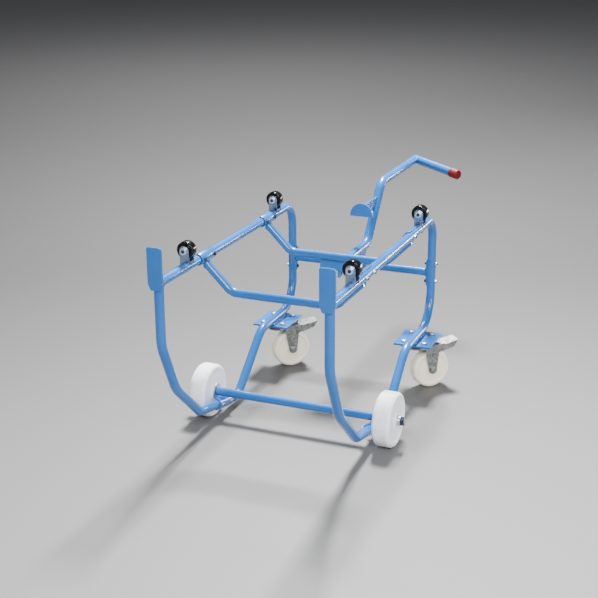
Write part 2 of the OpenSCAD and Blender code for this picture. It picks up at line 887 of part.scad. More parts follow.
// Foot that seats on the rear brace: a half shell and the web up to the lever
module lever_foot() {
    shell_r = bar_r + side_gap + 4;
    color(paint) difference() {
        union() {
            intersection() {
                translate([0, post_y, brace_height]) bar_x(-25, 25, shell_r);
                translate([-25, post_y - shell_r, brace_height])
                    cube([50, 2 * shell_r, shell_r + 1]);
            }
            at_side(-4) linear_extrude(8) polygon([
                [post_y - 12, lever_low], [post_y - 12, brace_height + 10],
                [post_y + 14, brace_height + 8], [lever_bend_y - 2, lever_low - lever_r + 2],
                [lever_bend_y - 34, lever_low]
            ]);
        }
        translate([0, post_y, brace_height]) bar_x(-30, 30, bar_r + side_gap);
        at_side(0) straight(lever_path[0], lever_path[1], lever_r);
    }
}

front_leg(-1);  // front_leg_left
front_leg(1);  // front_leg_right
rocker_tube(-1);  // rocker_tube_left
rocker_tube(1);  // rocker_tube_right
rear_leg(-1);  // rear_leg_left
rear_leg(1);  // rear_leg_right
drum_rail(-1);  // drum_rail_left
drum_rail(1);  // drum_rail_right
tipping_blade(-1);  // tipping_blade_left
tipping_blade(1);  // tipping_blade_right
caster_mount(-1);  // caster_mount_left
caster_mount(1);  // caster_mount_right
axle_bar();
drum_crossbar(front_bar_y);  // front_crossbar
drum_crossbar(rear_bar_y);  // rear_crossbar
rear_brace();
rail_saddles();
post_saddles();
axle_saddles();
saddle_bolts();
saddle_nuts();
roller_fork(-1, roller_ys[0]);  // roller_fork_front_left
roller_fork(1, roller_ys[0]);  // roller_fork_front_right
roller_fork(-1, roller_ys[1]);  // roller_fork_rear_left
roller_fork(1, roller_ys[1]);  // roller_fork_rear_right
drum_roller(-1, roller_ys[0]);  // drum_roller_front_left
drum_roller(1, roller_ys[0]);  // drum_roller_front_right
drum_roller(-1, roller_ys[1]);  // drum_roller_rear_left
drum_roller(1, roller_ys[1]);  // drum_roller_rear_right
roller_bolts();
roller_nuts();
front_wheel(-1);  // front_wheel_left
front_wheel(1);  // front_wheel_right
hub_sleeve(-1);  // hub_sleeve_left
hub_sleeve(1);  // hub_sleeve_right
front_axle();
axle_washers();
axle_nuts();
caster_plate(-1);  // caster_plate_left
caster_plate(1);  // caster_plate_right
caster_fork(-1);  // caster_fork_left
caster_fork(1);  // caster_fork_right
swivel_seal(-1);  // swivel_seal_left
swivel_seal(1);  // swivel_seal_right
caster_wheel(-1);  // caster_wheel_left
caster_wheel(1);  // caster_wheel_right
caster_sleeve(-1);  // caster_sleeve_left
caster_sleeve(1);  // caster_sleeve_right
caster_bolt(-1);  // caster_bolt_left
caster_bolt(1);  // caster_bolt_right
brake_pedal(-1);  // brake_pedal_left
brake_pedal(1);  // brake_pedal_right
mount_bolts();
mount_nuts();
lever_tube();
lever_handle();
lever_claw();
lever_hook();
lever_foot();
lever_cap();
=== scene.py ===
import logging
import math
from contextlib import contextmanager
from dataclasses import dataclass
from enum import Enum
from typing import Callable, Iterator, Sequence

import bmesh
import bpy
import numpy as np
from mathutils import Matrix, Vector


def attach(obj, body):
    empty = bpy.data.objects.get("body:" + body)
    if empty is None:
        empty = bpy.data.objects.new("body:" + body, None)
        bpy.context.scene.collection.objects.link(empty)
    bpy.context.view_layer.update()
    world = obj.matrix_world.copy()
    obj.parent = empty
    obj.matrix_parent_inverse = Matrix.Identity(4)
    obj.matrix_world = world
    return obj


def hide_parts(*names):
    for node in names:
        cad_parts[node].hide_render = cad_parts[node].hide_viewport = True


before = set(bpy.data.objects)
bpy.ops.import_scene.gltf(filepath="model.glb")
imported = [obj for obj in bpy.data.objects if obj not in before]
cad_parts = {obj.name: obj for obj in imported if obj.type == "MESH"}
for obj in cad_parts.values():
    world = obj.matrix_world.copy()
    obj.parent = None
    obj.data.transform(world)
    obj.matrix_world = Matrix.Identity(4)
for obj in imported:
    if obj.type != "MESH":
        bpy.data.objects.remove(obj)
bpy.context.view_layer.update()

log = logging.getLogger("drum_dolly")

MM = 0.001
ORIGIN_Y = -404.037  # The front axle's Y in the frame, in millimetres.
CRISP_ANGLE = math.radians(32)  # Edges that turn by more stay sharp.
MERGE = 2e-6  # Corners nearer than this are one, in metres.
STRAIGHT = 1e-6  # Turns smaller than this, in radians, get no arc.
TUBE_STEPS = 56
NEARLY_AXIS = 0.05  # Radius at which a profile ends at its axis.

Colour = tuple[float, float, float]


def along(y: float) -> float:
    """Turns a distance behind the front axle into the frame's Y, both in millimetres."""
    return ORIGIN_Y + y


# The frame's main sizes, in millimetres.
HALF_TRACK = 240.0
TUBE_R = 13.5
BAR_R = 12.5
RAIL_Z = 530.0
BRACE_Z = 346.0
LEG_Y, KNEE_Z = along(-352), 352.0
HEEL = (along(-147), 77.0)
FOOT = (along(112), 24.0)
POST_Y = along(560)
AXLE_Y, AXLE_Z = along(0), 80.0
BAR_Y = {"front": along(-86), "rear": along(346)}
BAR_END_Z = RAIL_Z - 14
CASTER_Y = along(432)
MOUNT_TOP = 166.0
THREAD_PAST = 2.2  # Length of thread past a nut.


class Side(Enum):
    """The two sides of the dolly, by the sign of their X."""

    LEFT = -1
    RIGHT = 1

    @property
    def word(self) -> str:
        """The side's name, as the CAD nodes end in it."""
        return self.name.lower()

    @property
    def x(self) -> float:
        """X of the side frame's centre line."""
        return self.value * HALF_TRACK

    @property
    def inward(self) -> np.ndarray:
        """Direction from the side towards the middle."""
        return np.array([-self.value, 0.0, 0.0])


class Station(Enum):
    """The two roller stations along the rails, by their place behind the front axle."""

    FRONT = -189.0
    REAR = 415.0

    @property
    def word(self) -> str:
        """The station's name, as the CAD nodes carry it."""
        return self.name.lower()


# ---- Surfaces worked out with numpy, in millimetres ----


def unit(v: np.ndarray) -> np.ndarray:
    """Vectors of length one along the last axis: v over the root of the sum of its squares."""
    v = np.asarray(v, float)
    return v / np.linalg.norm(v, axis=-1, keepdims=True)


def circle(steps: int) -> np.ndarray:
    """Evenly spaced angles round a full turn."""
    return np.linspace(0, 2 * math.pi, steps, endpoint=False)


@dataclass
class Sheet:
    """A grid of points, rows by columns, that becomes quads. Its last column joins the first.

    Attributes:
        points: Array of shape (rows, columns, 3).
        wrap_rows: The last row joins the first.
        cap_start: Close the first row with one face.
        cap_end: Close the last row with one face.
    """

    points: np.ndarray
    wrap_rows: bool = False
    cap_start: bool = False
    cap_end: bool = False

    def faces(self) -> list[list[int]]:
        """Quads between neighbouring rows and columns, and the caps.

        Returns:
            Lists of point numbers, counted row by row.
        """
        rows, columns = self.points.shape[:2]
        i = np.arange(rows if self.wrap_rows else rows - 1)
        i, j = np.meshgrid(i, np.arange(columns), indexing="ij")
        here, below = i * columns, (i + 1) % rows * columns
        beside = (j + 1) % columns
        quads = np.stack([here + j, here + beside, below + beside, below + j], axis=-1)
        out = quads.reshape(-1, 4).tolist()
        if self.cap_start:
            out.append(list(range(columns))[::-1])
        if self.cap_end:
            out.append([(rows - 1) * columns + k for k in range(columns)])
        return out


def filleted(
    points: np.ndarray, radii: Sequence[float], count: Callable[[float], int]
) -> np.ndarray:
    """Line whose corners are circular arcs.

    Each corner of turn a and radius r is replaced by an arc that starts r * tan(a / 2) before it
    and is centred on the bisector. A corner of radius 0 stays sharp.

    Args:
        points: Corners, of shape (n, 2) or (n, 3).
        radii: Radius at each corner.
        count: Number of points on an arc of a given turn in radians.

    Returns:
        Points of the rounded line.
    """
    line = [points[:1]]
    for k in range(1, len(points) - 1):
        before, after = unit(points[k] - points[k - 1]), unit(points[k + 1] - points[k])
        turn = math.acos(float(np.clip(before @ after, -1, 1)))
        if radii[k] <= 0 or turn < STRAIGHT:
            line.append(points[k : k + 1])
            continue
        start = points[k] - before * radii[k] * math.tan(turn / 2)
        inward = unit(after - before * float(before @ after))
        a = np.linspace(0, turn, count(turn))[:, None]
        line.append(start + radii[k] * (np.sin(a) * before + (1 - np.cos(a)) * inward))
    line.append(points[-1:])
    return np.concatenate(line)


def bent_line(corners: Sequence[Sequence[float]], radii: Sequence[float]) -> np.ndarray:
    """Centre line of a bent tube: straight runs joined by arcs, a point each 3 degrees or less."""
    return filleted(
        np.asarray(corners, float), radii, lambda turn: max(3, int(math.degrees(turn) / 3) + 2)
    )


def rounded(corners: Sequence[tuple[float, float, float]], arc: int = 5) -> np.ndarray:
    """Profile whose corners are rounded.

    Args:
        corners: (distance along the axis, radius, corner radius) triples.
        arc: Points on each rounded corner.

    Returns:
        Points of shape (n, 2): distance along the axis, radius.
    """
    table = np.array(corners, float)
    return filleted(table[:, :2], table[:, 2], lambda turn: arc)


def mirrored(face: list[tuple[float, float, float]]) -> np.ndarray:
    """Section of a wheel from the corners of one half, counted from its middle plane."""
    return rounded(face + [(-x, radius, corner) for x, radius, corner in face[::-1]])


def collar(
    low: float, high: float, bore: float, radius: float, edges: tuple[float, float] = (0.5, 0.5)
) -> np.ndarray:
    """Section of a ring between two distances, with its outer edges rounded."""
    corners = [(low, bore, 0), (low, radius, edges[0]), (high, radius, edges[1]), (high, bore, 0)]
    return rounded(corners, 4)


def sweep(line: np.ndarray, radius: float, side: Sequence[float]) -> np.ndarray:
    """Round tube carried along a line that lies in one plane.

    Ring k is centre k plus r * (cos(t) * side + sin(t) * up), where up is the mean direction's
    cross product with side, stretched by 1 / cos(half the turn) so that the tube keeps its
    thickness through a corner.

    Args:
        line: Centre points of shape (n, 3).
        radius: Radius of the tube.
        side: Normal of the line's plane.

    Returns:
        Points of shape (n, TUBE_STEPS, 3).
    """
    s = unit(np.asarray(side, float))
    d = unit(np.diff(line, axis=0))
    before, after = np.concatenate([d[:1], d]), np.concatenate([d, d[-1:]])
    half = np.sqrt(np.clip((1 + np.sum(before * after, axis=1)) / 2, 0.05, 1))
    up = np.cross(unit(before + after), s) / half[:, None]
    t = circle(TUBE_STEPS)
    ring = np.cos(t)[None, :, None] * s + np.sin(t)[None, :, None] * up[:, None, :]
    return line[:, None, :] + radius * ring


def oriented(
    distance: np.ndarray, radius: np.ndarray, centre: Sequence[float], axis: Sequence[float]
) -> np.ndarray:
    """Points centre + distance * axis + radius * (cos(t) * u + sin(t) * v).

    Args:
        distance: Distances along the axis, of shape (rows, columns).
        radius: Radii of the same shape, whose columns are evenly spaced in t.
        centre: Where distance is zero.
        axis: Direction of the axis. u and v are square to it and to each other.

    Returns:
        Points of shape (rows, columns, 3).
    """
    a = unit(np.asarray(axis, float))
    u = unit(np.cross(a, [0.0, 0.0, 1.0] if abs(a[2]) < 0.9 else [1.0, 0.0, 0.0]))
    t = circle(distance.shape[1])
    ring = np.cos(t)[:, None] * u + np.sin(t)[:, None] * np.cross(a, u)
    return np.asarray(centre, float) + distance[..., None] * a + radius[..., None] * ring


def revolve(
    profile: np.ndarray, centre: Sequence[float], axis: Sequence[float], steps: int
) -> np.ndarray:
    """Surface of revolution of a profile of (distance, radius) points round an axis."""
    distance, radius = (np.repeat(profile[:, k, None], steps, axis=1) for k in (0, 1))
    return oriented(distance, radius, centre, axis)


def turned(
    section: np.ndarray, centre: Sequence[float], axis: Sequence[float], steps: int
) -> Sheet:
    """Ring-shaped surface of a closed section turned round an axis."""
    return Sheet(revolve(section, centre, axis, steps), wrap_rows=True)


BEAD_PITCH = 3.4  # Length of one ripple of a weld, in millimetres.
BEAD_POINTS = 5  # Rings in one ripple.


def arc_length(line: np.ndarray) -> np.ndarray:
    """Distance along a line to each of its points."""
    return np.concatenate([[0], np.cumsum(np.linalg.norm(np.diff(line, axis=0), axis=1))])


def resampled(values: np.ndarray, s: np.ndarray, fine: np.ndarray) -> np.ndarray:
    """Vectors known at the distances s, read off at the distances fine."""
    return np.stack([np.interp(fine, s, values[:, k]) for k in range(3)], axis=1)


def rope(path: np.ndarray, d: np.ndarray, normal: np.ndarray, radius: np.ndarray) -> np.ndarray:
    """Rings of 12 points round a path.

    Args:
        path: Centres, of shape (n, 3).
        d: Direction of the path at each centre.
        normal: A direction at each centre that is never along the path.
        radius: Radius at each centre.

    Returns:
        Points of shape (n, 12, 3).
    """
    u = unit(normal - np.sum(normal * d, axis=1, keepdims=True) * d)
    t = circle(12)
    v = np.cross(d, u)
    ring = np.cos(t)[None, :, None] * u[:, None] + np.sin(t)[None, :, None] * v[:, None]
    return path[:, None] + radius[:, None, None] * ring


def ripple(phase: np.ndarray) -> np.ndarray:
    """Swelling of a weld with mean about 1: (1 + 0.16 * |cos(pi * phase)|) / 1.08."""
    return (1 + 0.16 * np.abs(np.cos(math.pi * phase))) / 1.08


def bead(line: np.ndarray, normal: Sequence[float], size: float) -> Sheet:
    """Weld bead along a line: a rippled rope that tapers to nothing at both ends.

    Args:
        line: Points of the root of the weld, of shape (n, 3).
        normal: A direction that is never along the line.
        size: Mean radius of the bead.

    Returns:
        Its surface.
    """
    s = arc_length(line)
    fine = np.linspace(0, s[-1], max(8, int(s[-1] / BEAD_PITCH * BEAD_POINTS)))
    path = resampled(line, s, fine)
    ends = np.minimum(1, np.minimum(fine, s[-1] - fine) / size)
    taper = np.sqrt(np.clip(1 - (1 - ends) ** 2, 0.01, 1))
    n = np.broadcast_to(np.asarray(normal, float), path.shape)
    radius = size * ripple(fine / BEAD_PITCH) * taper
    points = rope(path, unit(np.gradient(path, axis=0)), n, radius)
    return Sheet(points, cap_start=True, cap_end=True)


def closed_bead(line: np.ndarray, centre: np.ndarray, size: float) -> Sheet:
    """Weld bead round a closed line.

    Args:
        line: Points of the closed line, the first not repeated.
        centre: Point that the line goes round.
        size: Mean radius of the bead.

    Returns:
        Its surface.
    """
    loop = np.concatenate([line, line[:1]])
    s = arc_length(loop)
    count = max(12, int(s[-1] / BEAD_PITCH)) * BEAD_POINTS
    path = resampled(loop, s, np.linspace(0, s[-1], count, endpoint=False))
    d = unit(np.roll(path, -1, axis=0) - np.roll(path, 1, axis=0))
    radius = size * ripple(np.arange(count) / BEAD_POINTS)
    return Sheet(rope(path, d, path - centre, radius), wrap_rows=True)


# ---- Meshes and objects ----


@contextmanager
def editing(mesh: bpy.types.Mesh) -> Iterator[bmesh.types.BMesh]:
    """Opens a mesh for editing and writes it back at the end."""
    bm = bmesh.new()
    bm.from_mesh(mesh)
    yield bm
    bm.to_mesh(mesh)
    bm.free()


def crisp(mesh: bpy.types.Mesh) -> None:
    """Shades a mesh smooth, with sharp edges where its faces turn by more than the crisp angle."""
    mesh.polygons.foreach_set("use_smooth", [True] * len(mesh.polygons))
    with editing(mesh) as bm:
        for e in bm.edges:
            e.smooth = len(e.link_faces) == 2 and e.calc_face_angle(0.0) < CRISP_ANGLE


def linked(name: str, data: bpy.types.ID) -> bpy.types.Object:
    """A new object of the scene that carries the data."""
    obj = bpy.data.objects.new(name, data)
    bpy.context.scene.collection.objects.link(obj)
    return obj


def make_piece(name: str, sheets: Sequence[Sheet]) -> bpy.types.Object:
    """One object from several grids, with its faces turned outwards.

    Args:
        name: The piece's name.
        sheets: Its grids, in millimetres.

    Returns:
        The object, at the origin.
    """
    points, faces, start = [], [], 0
    for sheet in sheets:
        points.append(sheet.points.reshape(-1, 3) * MM)
        faces += [[start + k for k in face] for face in sheet.faces()]
        start += len(points[-1])
    mesh = bpy.data.meshes.new(name)
    mesh.from_pydata(np.concatenate(points).tolist(), [], faces)
    with editing(mesh) as bm:
        bmesh.ops.remove_doubles(bm, verts=bm.verts, dist=MERGE)
        bmesh.ops.recalc_face_normals(bm, faces=bm.faces)
    mesh.validate()
    crisp(mesh)
    return linked(name, mesh)


def soften(node: str, name: str, width: float) -> bpy.types.Object:
    """Copy of a CAD node with its triangles merged into whole faces and its edges rounded.

    Args:
        node: The CAD node.
        name: Name of the new piece.
        width: Width of the rounding, in millimetres.

    Returns:
        The new object, at the origin.
    """
    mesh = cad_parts[node].data.copy()
    mesh.name = name
    with editing(mesh) as bm:
        bmesh.ops.remove_doubles(bm, verts=bm.verts, dist=MERGE)
        bmesh.ops.dissolve_limit(
            bm, angle_limit=math.radians(0.6), verts=bm.verts, edges=bm.edges, delimit={"NORMAL"}
        )
        bmesh.ops.recalc_face_normals(bm, faces=bm.faces)
    crisp(mesh)
    obj = linked(name, mesh)
    bevel = obj.modifiers.new("rounded_edges", "BEVEL")
    bevel.width, bevel.segments = width * MM, 3
    bevel.limit_method, bevel.angle_limit = "ANGLE", CRISP_ANGLE
    bevel.harden_normals = True
    return obj


@dataclass(frozen=True)
class Finish:
    """A material and the record's slot that it fills."""

    material: bpy.types.Material
    slot: str

    def attach(self, obj: bpy.types.Object, body: str, *nodes: str) -> None:
        """Dresses a new piece, ties it to its body and hides the CAD nodes that it stands for.

        Args:
            obj: The piece.
            body: The CAD body that it rides on.
            *nodes: CAD nodes that it replaces.
        """
        obj.data.materials.clear()
        obj.data.materials.append(self.material)
        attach(obj, body)
        if nodes:
            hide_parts(*nodes)
        log.info("%s: %d faces on %s", obj.name, len(obj.data.polygons), body)

    def build(self, name: str, sheets: Sequence[Sheet], body: str, *nodes: str) -> None:
        """Builds a piece from grids and attaches it."""
        self.attach(make_piece(name, sheets), body, *nodes)

    def press(self, node: str, name: str, width: float, body: str) -> None:
        """Builds a piece that is a CAD node with rounded edges, and attaches it."""
        self.attach(soften(node, name, width), body, node)


# ---- Materials ----


class Wire:
    """A number, colour or vector on its way through a material's nodes.

    Arithmetic on wires adds Math nodes, so a mask can be written as a * b + c.
    """

    def __init__(self, shop: "Shop", socket: bpy.types.NodeSocket) -> None:
        """Wraps a socket of a material that a Shop is building."""
        self.shop, self.socket = shop, socket

    def _maths(self, operation: str, other: "Wire | float") -> "Wire":
        """One Math node with two inputs."""
        return self.shop.node("ShaderNodeMath", {"operation": operation}, {0: self, 1: other})

    def __add__(self, other: "Wire | float") -> "Wire":
        """Sum."""
        return self._maths("ADD", other)

    def __mul__(self, other: "Wire | float") -> "Wire":
        """Product."""
        return self._maths("MULTIPLY", other)

    def __sub__(self, other: "Wire | float") -> "Wire":
        """Difference."""
        return self._maths("SUBTRACT", other)

    def between(self, low: float, high: float) -> "Wire":
        """0 below low, 1 above high, and a smooth step between them."""
        return self.shop.node(
            "ShaderNodeMapRange",
            {"interpolation_type": "SMOOTHSTEP"},
            {"Value": self, "From Min": low, "From Max": high},
        )

    def to(self, low: float, high: float) -> "Wire":
        """A mask from 0 to 1, spread over a range."""
        return self * (high - low) + low


class Shop:
    """Builds one material's nodes round its Principled shader, in object coordinates."""

    def __init__(self, name: str) -> None:
        """Starts a material of the given name."""
        self.material = bpy.data.materials.new(name)
        self.material.use_nodes = True
        self.tree = self.material.node_tree
        self.shader = self.tree.nodes["Principled BSDF"]
        self.coords = self.node("ShaderNodeTexCoord", {}, {}, "Object")

    def node(
        self,
        kind: str,
        settings: dict[str, str],
        inputs: dict[str | int, "Wire | float | Sequence[float]"],
        output: str | int = 0,
    ) -> Wire:
        """Adds one node.

        Args:
            kind: The node's type.
            settings: Its properties, set first.
            inputs: Values or wires for its sockets, by name or number.
            output: The socket that the result leaves by.

        Returns:
            That socket as a wire.
        """
        n = self.tree.nodes.new(kind)
        for key, value in settings.items():
            setattr(n, key, value)
        for key, value in inputs.items():
            if isinstance(value, Wire):
                self.tree.links.new(value.socket, n.inputs[key])
            else:
                n.inputs[key].default_value = value
        return Wire(self, n.outputs[output])

    def noise(self, scale: float, detail: float) -> Wire:
        """Cloudy noise from 0 to 1, of so many blotches in a metre and so many octaves."""
        inputs = {"Vector": self.coords, "Scale": scale, "Detail": detail}
        return self.node("ShaderNodeTexNoise", {}, inputs)

    def mix(self, mask: Wire, a: "Wire | Colour", b: "Wire | Colour") -> Wire:
        """Colour a where the mask is 0, and b where it is 1."""
        a, b = (c if isinstance(c, Wire) else (*c, 1.0) for c in (a, b))
        return self.node("ShaderNodeMix", {"data_type": "RGBA"}, {0: mask, 6: a, 7: b}, 2)

    def bump(self, height: Wire, strength: float, distance: float = 0.0003) -> None:
        """Feeds a height to the shader's Normal through one Bump node."""
        inputs = {"Height": height, "Strength": strength, "Distance": distance}
        self.feed("Normal", self.node("ShaderNodeBump", {}, inputs, "Normal"))

    def feed(self, socket: str, value: Wire | float) -> None:
        """Sets or links one socket of the Principled shader."""
        if isinstance(value, Wire):
            self.tree.links.new(value.socket, self.shader.inputs[socket])
        else:
            self.shader.inputs[socket].default_value = value


@dataclass(frozen=True)
class PowderCoat:
    """Glossy powder coat: a deep colour with faint clouds, orange peel and a clear top.

    Attributes:
        name: The material's name.
        deep: Colour of the thicker coat.
        thin: Colour where the coat is thinner.
    """

    name: str
    deep: Colour
    thin: Colour

    def material(self) -> bpy.types.Material:
        """The finished material."""
        shop = Shop(self.name)
        clouds = shop.noise(9, 4).between(0.3, 0.7)
        dust = shop.noise(140, 2).between(0.62, 0.8)
        shop.feed("Base Color", shop.mix(clouds, self.deep, self.thin))
        shop.feed("Roughness", clouds.to(0.21, 0.27) + dust * 0.06)
        shop.feed("Coat Weight", 0.35)
        shop.feed("Coat Roughness", 0.05)
        shop.feed("Specular IOR Level", 0.3)
        shop.bump(shop.noise(420, 2), 0.12, 0.0004)
        return shop.material


@dataclass(frozen=True)
class Plating:
    """Zinc or galvanised steel: metal whose crystals and smears vary its shade and gloss.

    Attributes:
        name: The material's name.
        dark: Colour of the duller crystals.
        light: Colour of the brighter crystals.
        crystal: Crystals in a metre.
        rough: Lowest and highest roughness.
    """

    name: str
    dark: Colour
    light: Colour
    crystal: float
    rough: tuple[float, float]

    def material(self) -> bpy.types.Material:
        """The finished material."""
        shop = Shop(self.name)
        inputs = {"Vector": shop.coords, "Scale": self.crystal}
        cells = shop.node("ShaderNodeTexVoronoi", {}, inputs, "Color")
        shade = shop.node("ShaderNodeSeparateColor", {}, {0: cells}, 0)
        mask = shade * 0.55 + shop.noise(35, 4) * 0.45
        shop.feed("Base Color", shop.mix(mask, self.dark, self.light))
        shop.feed("Roughness", mask.to(*self.rough))
        shop.feed("Metallic", 1.0)
        shop.bump(shop.noise(900, 2), 0.08)
        return shop.material


@dataclass(frozen=True)
class Nylon:
    """Cast nylon wheel: an even body with a faint bloom, and floor dirt worked into the tread.

    Attributes:
        name: The material's name.
        body: Colour of the nylon.
        dirt: Colour of the worn tread.
        tread: Distance from the axle at which the tread starts, in millimetres.
        centre: A point on the axle, in millimetres.
        axle: Direction of the axle.
    """

    name: str
    body: Colour
    dirt: Colour
    tread: float
    centre: Sequence[float]
    axle: Sequence[float]

    def material(self) -> bpy.types.Material:
        """The finished material."""
        shop = Shop(self.name)
        centre = tuple(float(c) * MM for c in self.centre)
        axle = tuple(float(c) for c in self.axle)
        kind = "ShaderNodeVectorMath"
        arm = shop.node(kind, {"operation": "SUBTRACT"}, {0: shop.coords, 1: centre})
        lean = shop.node(kind, {"operation": "CROSS_PRODUCT"}, {0: arm, 1: axle})
        distance = shop.node(kind, {"operation": "LENGTH"}, {0: lean}, "Value")
        worn = distance.between(self.tread * MM - 0.004, self.tread * MM + 0.001)
        blotch = shop.noise(60, 5).between(0.45, 0.7)
        bloom = shop.noise(14, 3).between(0.3, 0.75)
        mask = worn * blotch * 0.3 + bloom * 0.06
        shop.feed("Base Color", shop.mix(mask, self.body, self.dirt))
        shop.feed("Roughness", bloom.to(0.36, 0.46) + worn * blotch * 0.15)
        shop.feed("Subsurface Weight", 0.12)
        shop.feed("Subsurface Scale", 0.006)
        shop.shader.inputs["Subsurface Radius"].default_value = (1.0, 0.9, 0.75)
        shop.bump(shop.noise(700, 3), 0.06)
        return shop.material


@dataclass(frozen=True)
class Moulded:
    """Moulded rubber or plastic, or plain dark steel: one colour with fine grain.

    Attributes:
        name: The material's name.
        base: Main colour.
        tint: Colour of the clouds over it.
        rough: Mean roughness.
        metallic: 1 for bare metal.
    """

    name: str
    base: Colour
    tint: Colour
    rough: float
    metallic: float = 0.0

    def material(self) -> bpy.types.Material:
        """The finished material."""
        shop = Shop(self.name)
        clouds = shop.noise(70, 4).between(0.35, 0.75)
        shop.feed("Base Color", shop.mix(clouds, self.base, self.tint))
        shop.feed("Roughness", clouds.to(self.rough - 0.04, self.rough + 0.05))
        shop.feed("Metallic", self.metallic)
        shop.feed("Specular IOR Level", 0.3)
        shop.bump(shop.noise(800, 2), 0.1)
        return shop.material


class Stock:
    """Every finish of the dolly but the wheels' nylon, made once and handed out by name."""

    def __init__(self) -> None:
        """Makes the finishes."""

        def add(made: PowderCoat | Plating | Moulded, slot: str) -> Finish:
            """The finish of a material in a slot."""
            return Finish(made.material(), slot)

        deep, thin = (0.014, 0.112, 0.36), (0.018, 0.126, 0.4)
        self.frame = add(PowderCoat("blue_powder_coat", deep, thin), "frame_paint")
        deep, thin = (0.015, 0.117, 0.375), (0.02, 0.132, 0.415)
        self.lever = add(PowderCoat("blue_powder_coat_lever", deep, thin), "lever_paint")
        dark, light = (0.5, 0.52, 0.56), (0.74, 0.77, 0.83)
        self.zinc = add(Plating("bright_zinc", dark, light, 420, (0.25, 0.45)), "zinc_fasteners")
        dark, light = (0.17, 0.24, 0.38), (0.36, 0.46, 0.6)
        self.fork = add(Plating("blue_zinc", dark, light, 260, (0.22, 0.38)), "roller_fork_steel")
        dark, light = (0.09, 0.1, 0.094), (0.44, 0.46, 0.44)
        self.galvanised = add(Plating("galvanised", dark, light, 170, (0.25, 0.48)), "caster_steel")
        # Painted highlight: a lighter copy of the zinc for the roller nuts, whose colour stands in
        # for their bright glint.
        dark, light = (0.82, 0.85, 0.9), (0.96, 0.98, 1.0)
        self.bright = add(Plating("zinc_painted_glint", dark, light, 420, (0.3, 0.42)), "zinc_fasteners")
        dark, light = (0.14, 0.15, 0.15), (0.42, 0.43, 0.42)
        self.dull = add(Plating("dull_zinc", dark, light, 300, (0.3, 0.5)), "zinc_fasteners")
        base, tint = (0.02, 0.03, 0.05), (0.05, 0.06, 0.09)
        self.dark = add(Moulded("dark_steel", base, tint, 0.4, 0.6), "zinc_fasteners")
        self.black = Finish(self.dark.material, "dark_bolts")
        base, tint = (0.002, 0.002, 0.0022), (0.004, 0.004, 0.0045)
        self.roller = add(Moulded("black_polyurethane", base, tint, 0.16), "roller_black")
        base, tint = (0.12, 0.001, 0.004), (0.16, 0.002, 0.006)
        self.cap = add(Moulded("red_vinyl", base, tint, 0.5), "cap_red")
        base, tint = (0.16, 0.02, 0.02), (0.24, 0.035, 0.03)
        self.seal = add(Moulded("dark_red_seal", base, tint, 0.45), "seal_red")


# ---- Fasteners ----


@dataclass(frozen=True)
class Hex:
    """A hexagon head or nut, placed by its seat and the direction that it stands up from it.

    Attributes:
        flats: Size across the flats.
        height: Height.
        bore: Bore radius, 0 for a head.
    """

    flats: float
    height: float
    bore: float = 0.0

    def sheet(self, seat: Sequence[float], axis: Sequence[float]) -> Sheet:
        """The head or nut at one place.

        At angle t the hexagon's radius is h(t) = half the flats / cos(t folded into 30 degrees
        either side of a flat). The chamfer is a 30 degree cone that leaves a circle of 0.95 half
        the flats on the top, so its lower edge dips by (h - circle) * tan(30 degrees).

        Args:
            seat: Centre of the seated face.
            axis: Direction away from the seat.

        Returns:
            Its surface.
        """
        t = circle(60)
        folded = (t + math.pi / 6) % (math.pi / 3) - math.pi / 6
        h = self.flats / 2 / np.cos(folded)
        rim, top, none = (np.full_like(t, v) for v in (0.95 * self.flats / 2, self.height, 0))
        inner = np.full_like(t, self.bore or 0.01)
        dip = (h - rim) * math.tan(math.radians(30))
        distance = np.stack([none, none, top - dip, top, top])
        radius = np.stack([np.full_like(t, self.bore), h, h, rim, inner])
        points = oriented(distance, radius, seat, axis)
        closed = not self.bore
        return Sheet(points, wrap_rows=not closed, cap_start=closed, cap_end=closed)


def rod(
    a: Sequence[float], b: Sequence[float], radius: float, chamfer: float, steps: int
) -> Sheet:
    """Round rod from a to b with a chamfer at both ends."""
    a, b = np.asarray(a, float), np.asarray(b, float)
    length = float(np.linalg.norm(b - a))
    ends = radius - chamfer
    profile = np.array(
        [(0, ends), (chamfer, radius), (length - chamfer, radius), (length, ends)]
    )
    return Sheet(revolve(profile, a, b - a, steps), cap_start=True, cap_end=True)


def threaded_end(seat: Sequence[float], axis: Sequence[float], radius: float) -> Sheet:
    """Thread end past a nut: rings of 60 degree ridges, and a chamfer on the end."""
    pitch = radius * 0.16 + 0.5
    s = np.arange(0, max(THREAD_PAST - 0.6, pitch), pitch / 2)
    ridge = np.where(np.arange(len(s)) % 2 == 0, radius, radius - pitch * 0.45)
    rows = [*zip(s, ridge), (THREAD_PAST, radius - 0.7), (THREAD_PAST, NEARLY_AXIS)]
    return Sheet(revolve(np.array(rows), seat, axis, 32), cap_end=True)


# ---- Side frames ----


